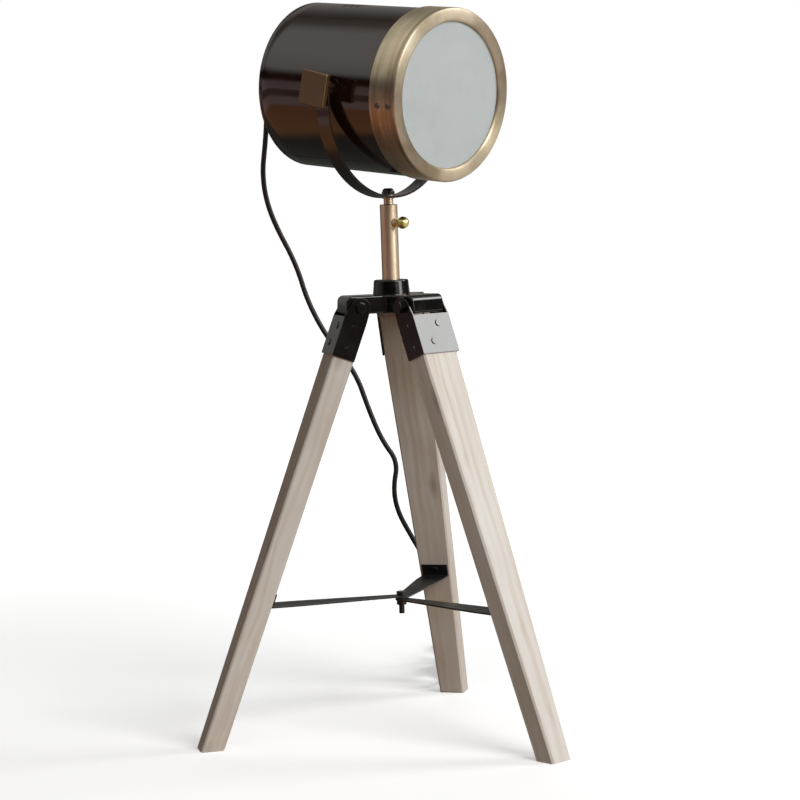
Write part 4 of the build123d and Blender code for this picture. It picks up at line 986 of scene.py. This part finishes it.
@dataclass
class MainsCord:
    """Cord from the drum to the plug, in five lengths and a hank."""

    finish: bpy.types.Material
    radius: float = 2.4
    upper_end: Spot = (21.25, 184.5, 405.5)
    middle_end: Spot = (98.25, 147.5, 194.5)
    switch_top: Vector = field(default_factory=lambda: Vector((0.1456, 0.1378, 0.097)))
    switch_bottom: Vector = field(default_factory=lambda: Vector((0.1588, 0.1432, 0.051)))
    hank_centre: Vector = field(default_factory=lambda: Vector((0.222, 0.2032, 0.0169)))
    hank_turned: float = 45.79
    relief_behind: float = 111.2  # of the pivot, where the cord leaves its bush
    held: float = 10.0  # behind the bush, which keeps to the drum
    lead: float = 12.5  # straight out of a fitting
    switch_lead: float = 9.4
    hank_lead: float = 12.0
    lobe_lead: float = 4.0
    lobe_steps: int = 10
    waist_steps: int = 4
    swell: float = 1.017  # the smooth curve runs a little inside its corners
    lobe_radius: float = 14.4
    lobe_reach: float = 33.6
    waist_radius: float = 38.6
    waist_reach: float = 41.0
    pitch: float = 4.9
    columns: int = 4
    stub: float = 46.0
    plug_start: Vector = field(default_factory=lambda: Vector((0.283, 0.2605, 0.007)))

    def __post_init__(self) -> None:
        """Works out the hank's axes and the straight leads out of the fittings."""
        self.along = out_of(self.hank_turned)
        self.across = self.along.cross(UP)
        self.switch_up = (self.switch_top - self.switch_bottom).normalized()
        foot = self.hank_centre - UP * self.lobe_radius * MM
        edge = self.across * (self.columns - 1) * self.pitch / 2 * MM
        self.hank_entry = foot - self.along * self.stub * MM - edge
        self.hank_exit = foot + self.along * self.stub * MM + edge
        self.relief_tip = PIVOT - BEAM * self.relief_behind * MM

    def line(self, name: str, corners: Sequence[Vector], radius: float) -> Piece:
        """Smooth curve through a route's corners.

        Args:
            name: Name of the curve.
            corners: Control points in metres.
            radius: Radius of the cord in millimetres, or 0 for the bare line.

        Returns:
            The curve object.
        """
        data = bpy.data.curves.new(name, "CURVE")
        data.dimensions = "3D"
        data.resolution_u = 12
        data.bevel_depth = radius * MM
        data.bevel_resolution = 5
        data.use_fill_caps = True
        spline = data.splines.new("NURBS")
        spline.points.add(len(corners) - 1)
        for point, corner in zip(spline.points, corners):
            point.co = (corner.x, corner.y, corner.z, 1.0)
        spline.order_u = 3
        spline.use_endpoint_u = True
        return linked(name, data, Matrix.Identity(4))

    def middle(self, corners: Sequence[Vector]) -> list[Vector]:
        """Points that a route's smooth curve runs through.

        Args:
            corners: The route's corners.

        Returns:
            The points.
        """
        bare = self.line("bare", corners, 0.0)
        depsgraph = bpy.context.evaluated_depsgraph_get()
        mesh = bpy.data.meshes.new_from_object(bare.evaluated_get(depsgraph))
        points = [vertex.co.copy() for vertex in mesh.vertices]
        bpy.data.meshes.remove(mesh)
        bpy.data.objects.remove(bare)
        return points

    def tube(self, key: str, corners: Sequence[Vector]) -> CordLength:
        """Cord along a route as a mesh, which stands for the solid of that name.

        Args:
            key: Which length it is.
            corners: The route's corners.

        Returns:
            The length of cord.
        """
        path = self.middle(corners)
        only(self.line(f"flex_{key}", corners, self.radius))
        bpy.ops.object.convert(target="MESH")
        piece = finish_mesh(name_new(f"flex_{key}"), 50.0)
        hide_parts(f"cord_{key}")
        return CordLength(dress(piece, self.finish), path)

    def routes(self) -> dict[str, list[Vector]]:
        """Corners of each length of cord."""
        upper = [self.relief_tip, self.relief_tip - BEAM * self.lead * MM] + route(
            (-8.2, 177.1, 589.4), (-8.4, 186.6, 581.1), (-8.5, 192.2, 569.6), (-8.5, 193.5, 553.0),
            (-9.5, 195.5, 534.0), (-10.5, 199.0, 512.0), (-9.0, 198.0, 488.0), (-1.0, 195.0, 462.0),
            (16.5, 186.5, 424.0), self.upper_end)
        middle = route(
            self.upper_end, (26.0, 182.5, 387.0), (43.0, 174.0, 351.0), (64.0, 161.0, 320.0),
            (75.5, 155.5, 281.0), (86.0, 150.0, 252.0), (99.5, 143.5, 231.0), (95.5, 147.0, 206.0),
            self.middle_end)
        lower = route(self.middle_end, (101.0, 148.0, 183.0), (113.0, 143.5, 159.0),
                      (126.0, 137.5, 134.0))
        lower += [self.switch_top + self.switch_up * self.lead * MM, self.switch_top]
        tail = [self.switch_bottom, self.switch_bottom - self.switch_up * self.switch_lead * MM]
        tail += route((161.1, 147.5, 22.6), (166.8, 155.8, 9.1))
        tail += [self.hank_entry - self.along * self.hank_lead * MM, self.hank_entry]
        end = [self.hank_exit, self.hank_exit + self.along * self.lead * MM,
               self.plug_start - self.along * self.lead * MM, self.plug_start]
        return {"upper": upper, "middle": middle, "lower": lower, "tail": tail, "end": end,
                "hank": self.hank_route()}

    def hank_route(self) -> list[Vector]:
        """Corners of the wound cord, half a turn at a time, side by side."""
        lobe_out = math.degrees(math.atan2(self.waist_reach, self.lobe_reach))
        half_lobe, half_waist = 180.0 - lobe_out, 90.0 - lobe_out
        level = -(self.columns - 1) * self.pitch / 2
        points: list[Spot] = [
            (-self.stub, -self.lobe_radius, level),
            (-self.lobe_reach - self.lobe_lead, -self.lobe_radius, level)]
        halves = 2 * self.columns - 1
        for half in range(halves):
            side = 1 if half % 2 == 0 else -1  # towards +X along the foot, back along the top
            # the waist, from one lobe to the other
            for step in range(self.waist_steps + 1):
                angle = math.radians(90.0 + half_waist - 2 * half_waist * step / self.waist_steps)
                radius = self.waist_radius / self.swell
                points.append((radius * math.cos(angle) * side,
                               (-self.waist_reach + radius * math.sin(angle)) * side, level))
            if half == halves - 1:
                break
            # the lobe at the far end
            for step in range(1, self.lobe_steps):
                angle = math.radians(-half_lobe + 2 * half_lobe * step / self.lobe_steps)
                level += self.pitch / 2 / (self.lobe_steps - 1)
                radius = self.lobe_radius * self.swell
                points.append(((self.lobe_reach + radius * math.cos(angle)) * side,
                               radius * math.sin(angle) * side, level))
        points += [(self.lobe_reach + self.lobe_lead, -self.lobe_radius, level),
                   (self.stub, -self.lobe_radius, level)]
        return [self.hank_centre + (self.along * x + UP * y + self.across * z) * MM
                for x, y, z in points]

    def build(self) -> dict[str, CordLength]:
        """Makes every length of cord and puts the tail, the hank and the end on the stand's body.
        """
        made = {key: self.tube(key, corners) for key, corners in self.routes().items()}
        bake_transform(made["upper"].piece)
        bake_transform(made["middle"].piece)
        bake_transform(made["lower"].piece)
        for key in ("tail", "hank", "end"):
            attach(made[key].piece, "stand")
        for key, length in made.items():
            log.info("cord %s is %.0f mm long", key, length.reach / MM)
        return made


# ---------------------------------------------------------------- head


@dataclass
class DrumHead:
    """Drum with its bezel and lens."""

    enamel: bpy.types.Material
    brass: bpy.types.Material
    glass: bpy.types.Material
    drum_radius: float = 73.65
    drum_sheet: float = 1.0
    drum_rear: float = -84.7
    drum_hem: Profile = ((1.0, 0.5), (0.85, 0.12), (0.5, 0.0), (0.2, 0.1), (0.0, 0.45), (0.0, 3.0),
                         (0.28, 3.5), (0.28, 4.2), (0.0, 4.8))
    drum_rings: range = range(-70, 71, 14)  # plain rings, ahead of the pivot
    chamfer: float = 0.3
    gap: float = 0.05  # from the drum's radius to the bezel's bore and the lens
    front: float = 79.1
    bezel_radius: float = 75.35
    bezel_band: float = 29.2
    bezel_rear_edge: Profile = ((0.4, 0.0), (0.0, 0.4))
    bezel_groove: Profile = ((0.0, -5.4), (0.25, -5.0), (0.25, -4.4), (0.0, -4.0), (0.0, -1.6))
    bezel_roll: float = 1.6
    roll_steps: int = 5
    opening_radius: float = 63.1
    opening_edge: Profile = ((-2.6, -0.1), (-1.0, -0.5), (-0.2, -1.2), (0.0, -1.8))
    face_begins: float = 5.0  # inside the bezel's radius
    lip: float = 2.5
    lens_back: float = 73.6
    lens_thick: float = 3.0
    lens_edge: float = 0.5
    gasket_back: float = 72.1
    vent_pitch: float = 8.0
    vent_row_pitch: float = 22.4
    vent_length: float = 16.0
    vent_width: float = 3.0
    vents_behind: float = 30.0
    pivot_hole: float = 3.3
    cutter_reach: float = 20.0
    steps: int = 160

    def fit(self, piece: Piece, node: str, finish: bpy.types.Material) -> None:
        """Puts a piece on the head in place of a solid.

        Args:
            piece: The piece.
            node: Name of the solid.
            finish: The piece's material.
        """
        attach(piece, "head")
        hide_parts(node)
        dress(piece, finish)

    def drum(self) -> None:
        """Rolled drum with a folded rear edge and two rows of vents in its crown."""
        outer, inner = self.drum_radius, self.drum_radius - self.drum_sheet
        profile = [(outer - inset, self.drum_rear + ahead) for inset, ahead in self.drum_hem]
        profile += [(outer, float(ahead)) for ahead in self.drum_rings]
        profile += [(outer, self.gasket_back - self.chamfer),
                    (outer - self.chamfer, self.gasket_back), (inner, self.gasket_back)]
        piece = turned("drum", profile, Matrix.Identity(4), steps=self.steps, closed=True)
        rows = (-self.vent_row_pitch / 2, self.vent_row_pitch / 2)
        columns = (-self.vent_pitch, 0.0, self.vent_pitch)
        spots = route(*((x, outer, z - self.vents_behind) for x in rows for z in columns))
        cut(piece, join("vents", [self.slot_cutter(Matrix.Translation(spot)) for spot in spots]))
        for side in (1.0, -1.0):
            bpy.ops.object.select_all(action="DESELECT")
            bpy.ops.mesh.primitive_cylinder_add(vertices=32, radius=self.pivot_hole * MM,
                                                depth=self.cutter_reach * MM)
            hole = settle(name_new("pivot hole"), Matrix.Translation((side * outer * MM, 0, 0))
                          @ Matrix.Rotation(math.pi / 2, 4, "Y"))
            cut(piece, hole)
        finish_mesh(piece)
        settle(piece, station(0.0))
        self.fit(piece, "drum_shell", self.enamel)

    def slot_cutter(self, place: Matrix) -> Piece:
        """Round-ended bar that cuts one vent, its long way round the drum.

        Args:
            place: Where the vent's middle is.

        Returns:
            The bar.
        """
        stretch = (self.vent_length - self.vent_width) * MM
        bpy.ops.object.select_all(action="DESELECT")
        bpy.ops.mesh.primitive_cylinder_add(vertices=24, radius=self.vent_width / 2 * MM,
                                            depth=self.cutter_reach * MM)
        bar = name_new("slot")
        with editing(bar, "DESELECT"):
            bpy.ops.mesh.select_mode(type="VERT")
        for vertex in bar.data.vertices:
            vertex.select = vertex.co.x > WELD
        bpy.ops.object.mode_set(mode="EDIT")
        bpy.ops.transform.translate(value=(stretch, 0, 0))
        bpy.ops.object.mode_set(mode="OBJECT")
        middle = Matrix.Translation((-stretch / 2, 0, 0))
        return settle(bar, place @ Matrix.Rotation(math.pi / 2, 4, "X") @ middle)

    def bezel(self) -> None:
        """Spun ring with a rolled front edge, a stepped lip and a turned rear edge."""
        rear, front = self.front - self.bezel_band, self.front
        bore, radius, opening = self.drum_radius + self.gap, self.bezel_radius, self.opening_radius
        roll = self.bezel_roll
        profile = [(bore, rear + self.chamfer), (bore + self.chamfer, rear)]
        profile += [(radius - inset, rear + ahead) for inset, ahead in self.bezel_rear_edge]
        profile += [(radius - inset, front + ahead) for inset, ahead in self.bezel_groove]
        for step in range(1, self.roll_steps + 1):
            angle = math.pi / 2 * step / self.roll_steps
            profile.append((radius - roll + roll * math.cos(angle),
                            front - roll + roll * math.sin(angle)))
        profile.append((radius - self.face_begins, front))
        profile += [(opening - inset, front + ahead) for inset, ahead in self.opening_edge]
        profile += [(opening, front - self.lip), (bore, front - self.lip)]
        piece = turned("bezel_ring", profile, station(0.0), steps=self.steps, closed=True)
        self.fit(piece, "bezel", self.brass)

    def lens(self) -> None:
        """Pane with ground edges."""
        radius, back, edge = self.drum_radius - self.gap, self.lens_back, self.lens_edge
        front = back + self.lens_thick
        profile = [(radius - edge, back), (radius, back + edge), (radius, front - edge),
                   (radius - edge, front)]
        piece = turned("pane", profile, station(0.0), steps=self.steps)
        self.fit(piece, "lens", self.glass)

    def build(self) -> None:
        """Makes the drum, the bezel and the lens."""
        self.drum()
        self.bezel()
        self.lens()


# ---------------------------------------------------------------- stand


class Leg(Enum):
    """The three legs: label, degrees from +X, where the grain starts and how brown it is."""

    FRONT = ("front", -90.0, 0.11, 0.12)
    REAR_RIGHT = ("rear_right", 30.0, 0.53, 0.3)
    REAR_LEFT = ("rear_left", 150.0, 0.87, 0.25)

    def __init__(self, label: str, azimuth: float, seed: float, wash: float) -> None:
        """Names the leg's values."""
        self.label, self.azimuth, self.seed, self.wash = label, azimuth, seed, wash

    @property
    def place(self) -> Matrix:
        """Frame with +Z up the leg, +X across it and the origin at the toe."""
        out = out_of(self.azimuth)
        up_leg = UP * math.cos(LEG_LEAN) - out * math.sin(LEG_LEAN)
        return basis(POST + out * TOE_RADIUS, UP.cross(out), up_leg)


def main() -> None:
    """Builds the lamp and its studio."""
    Studio().build()
    nodes = frame["nodes"]
    flex = MainsCord(Smooth("black flex", srgb(11, 11, 12), roughness=0.45, smudged_roughness=0.6,
                            peel=0.004).build())
    cord = flex.build()

    bronze = Smooth("bronze enamel", srgb(36, 20, 13), roughness=0.1, smudged_roughness=0.16,
                    peel=0.006, coat=0.45, mark_scale=30.0, dust=1.5).build()
    # the knobs' pale edge colour is a painted highlight along their rims as well as rubbed wear
    olive = Smooth("olive bronze", srgb(100, 80, 46), roughness=0.24, smudged_roughness=0.34,
                   peel=0.01, coat=0.5, metallic=0.6, mark_scale=50.0, wear=0.8,
                   worn_and_highlight_colour=srgb(205, 185, 150)).build()
    # the strap's paler edge colour is partly a painted highlight along its edges and partly wear
    strap = Smooth("strap bronze", srgb(38, 26, 19), roughness=0.22, smudged_roughness=0.3,
                   peel=0.01, coat=0.6, wear=0.3, worn_and_highlight_colour=srgb(120, 100, 80)).build()
    gloss_black = Smooth("black enamel", srgb(9, 9, 9), roughness=0.13, smudged_roughness=0.2,
                         peel=0.015, coat=0.35, wear=0.12, shine=0.4).build()
    satin_black = Smooth("black sheet", srgb(10, 10, 10), roughness=0.32, smudged_roughness=0.42,
                         peel=0.02, wear=0.12).build()
    black_plastic = Smooth("black plastic", srgb(14, 14, 15), roughness=0.38,
                           smudged_roughness=0.48, peel=0.03).build()
    antique = Brushed("antique brass", srgb(182, 171, 150), srgb(136, 122, 98), station(0.0),
                      (18.0, 18.0, 900.0), roughness=0.36, tarnish=srgb(102, 88, 68),
                      tarnish_share=0.3, streak=0.85).build()
    nickel = Brushed("warm nickel", srgb(230, 214, 188), srgb(180, 158, 130), UPRIGHT,
                     (260.0, 260.0, 14.0), roughness=0.26).build()
    polished = Brushed("polished brass", srgb(216, 206, 140), srgb(186, 174, 108), UPRIGHT,
                       (120.0, 120.0, 120.0), roughness=0.28, roughness_spread=0.08).build()
    zinc = Brushed("zinc plate", srgb(190, 190, 188), srgb(140, 140, 140), UPRIGHT,
                   (200.0, 200.0, 60.0), roughness=0.35).build()
    white_glass, bulb = (
        Smooth(name, colour, roughness, roughness + 0.1, peel=0.01, peel_strength=0.1, dust=0.93,
               mark_scale=35.0, transmission=transmission).build()
        for name, colour, roughness, transmission in (
            ("lens glass", srgb(211, 220, 221), 0.45, 0.3),
            ("bulb glass", srgb(245, 244, 238), 0.3, 0.5)))
    ceramic = Smooth("white ceramic", srgb(226, 222, 212), roughness=0.25, smudged_roughness=0.35,
                     peel=0.02, dust=0.94).build()

    DrumHead(bronze, antique, white_glass).build()

    for leg in Leg:
        wood = WeatheredWood(f"board {leg.label}", leg.place, leg.seed, leg.wash).build()
        for node, name, width, finish, slot in (
                ("leg", "board", 1.0, wood, "bleached_wood"),
                ("leg_bracket", "bracket", 0.5, gloss_black, "black_enamel"),
                ("spreader_arm", "arm", 0.3, satin_black, "black_sheet")):
            dress(softened(f"{node}_{leg.label}", f"{name}_{leg.label}", width), finish)
    for node, name, width, finish, slot in (
            ("hub", "hub_casting", 0.6, gloss_black, "black_enamel"),
            ("yoke", "yoke_strap", 0.4, strap, "black_enamel"),
            ("rear_cap", "cap", 0.3, bronze, "bronze_enamel"),
            ("tilt_knob_right", "knob_right", 0.7, olive, "bronze_enamel"),
            ("tilt_knob_left", "knob_left", 0.7, olive, "bronze_enamel"),
            ("post_tube", "tube", 0.25, nickel, "warm_nickel"),
            ("switch_case", "rocker_case", 0.4, black_plastic, "black_plastic"),
            ("plug_body", "plug_moulding", 0.5, black_plastic, "black_plastic")):
        dress(softened(node, name, width), finish)
    for finish, plain in (
            (gloss_black, ("hinge_bolts", "hinge_nuts", "bracket_screws", "cheek_rivets",
                           "spreader_screws", "spreader_bolt", "spreader_nut")),
            (bronze, ("pivot_spacers", "knob_washers")),
            (strap, ("bezel_screws", "seam_rivets", "acorn_nut")),
            (nickel, ("mast", "yoke_washers")),
            (polished, ("clamp_screw",)),
            (zinc, ("hinge_spacers", "holder_plate", "holder_screws", "pivot_bosses",
                    "post_locknut", "plug_pins", "bulb_cap")),
            (black_plastic, ("post_bush", "switch_rocker", "strain_relief", "lens_gasket",
                             "hank_tie")),
            (ceramic, ("lampholder",)),
            (bulb, ("bulb_glass",))):
        for node in plain:
            dress(nodes[node], finish)


if __name__ == "__main__":
    main()
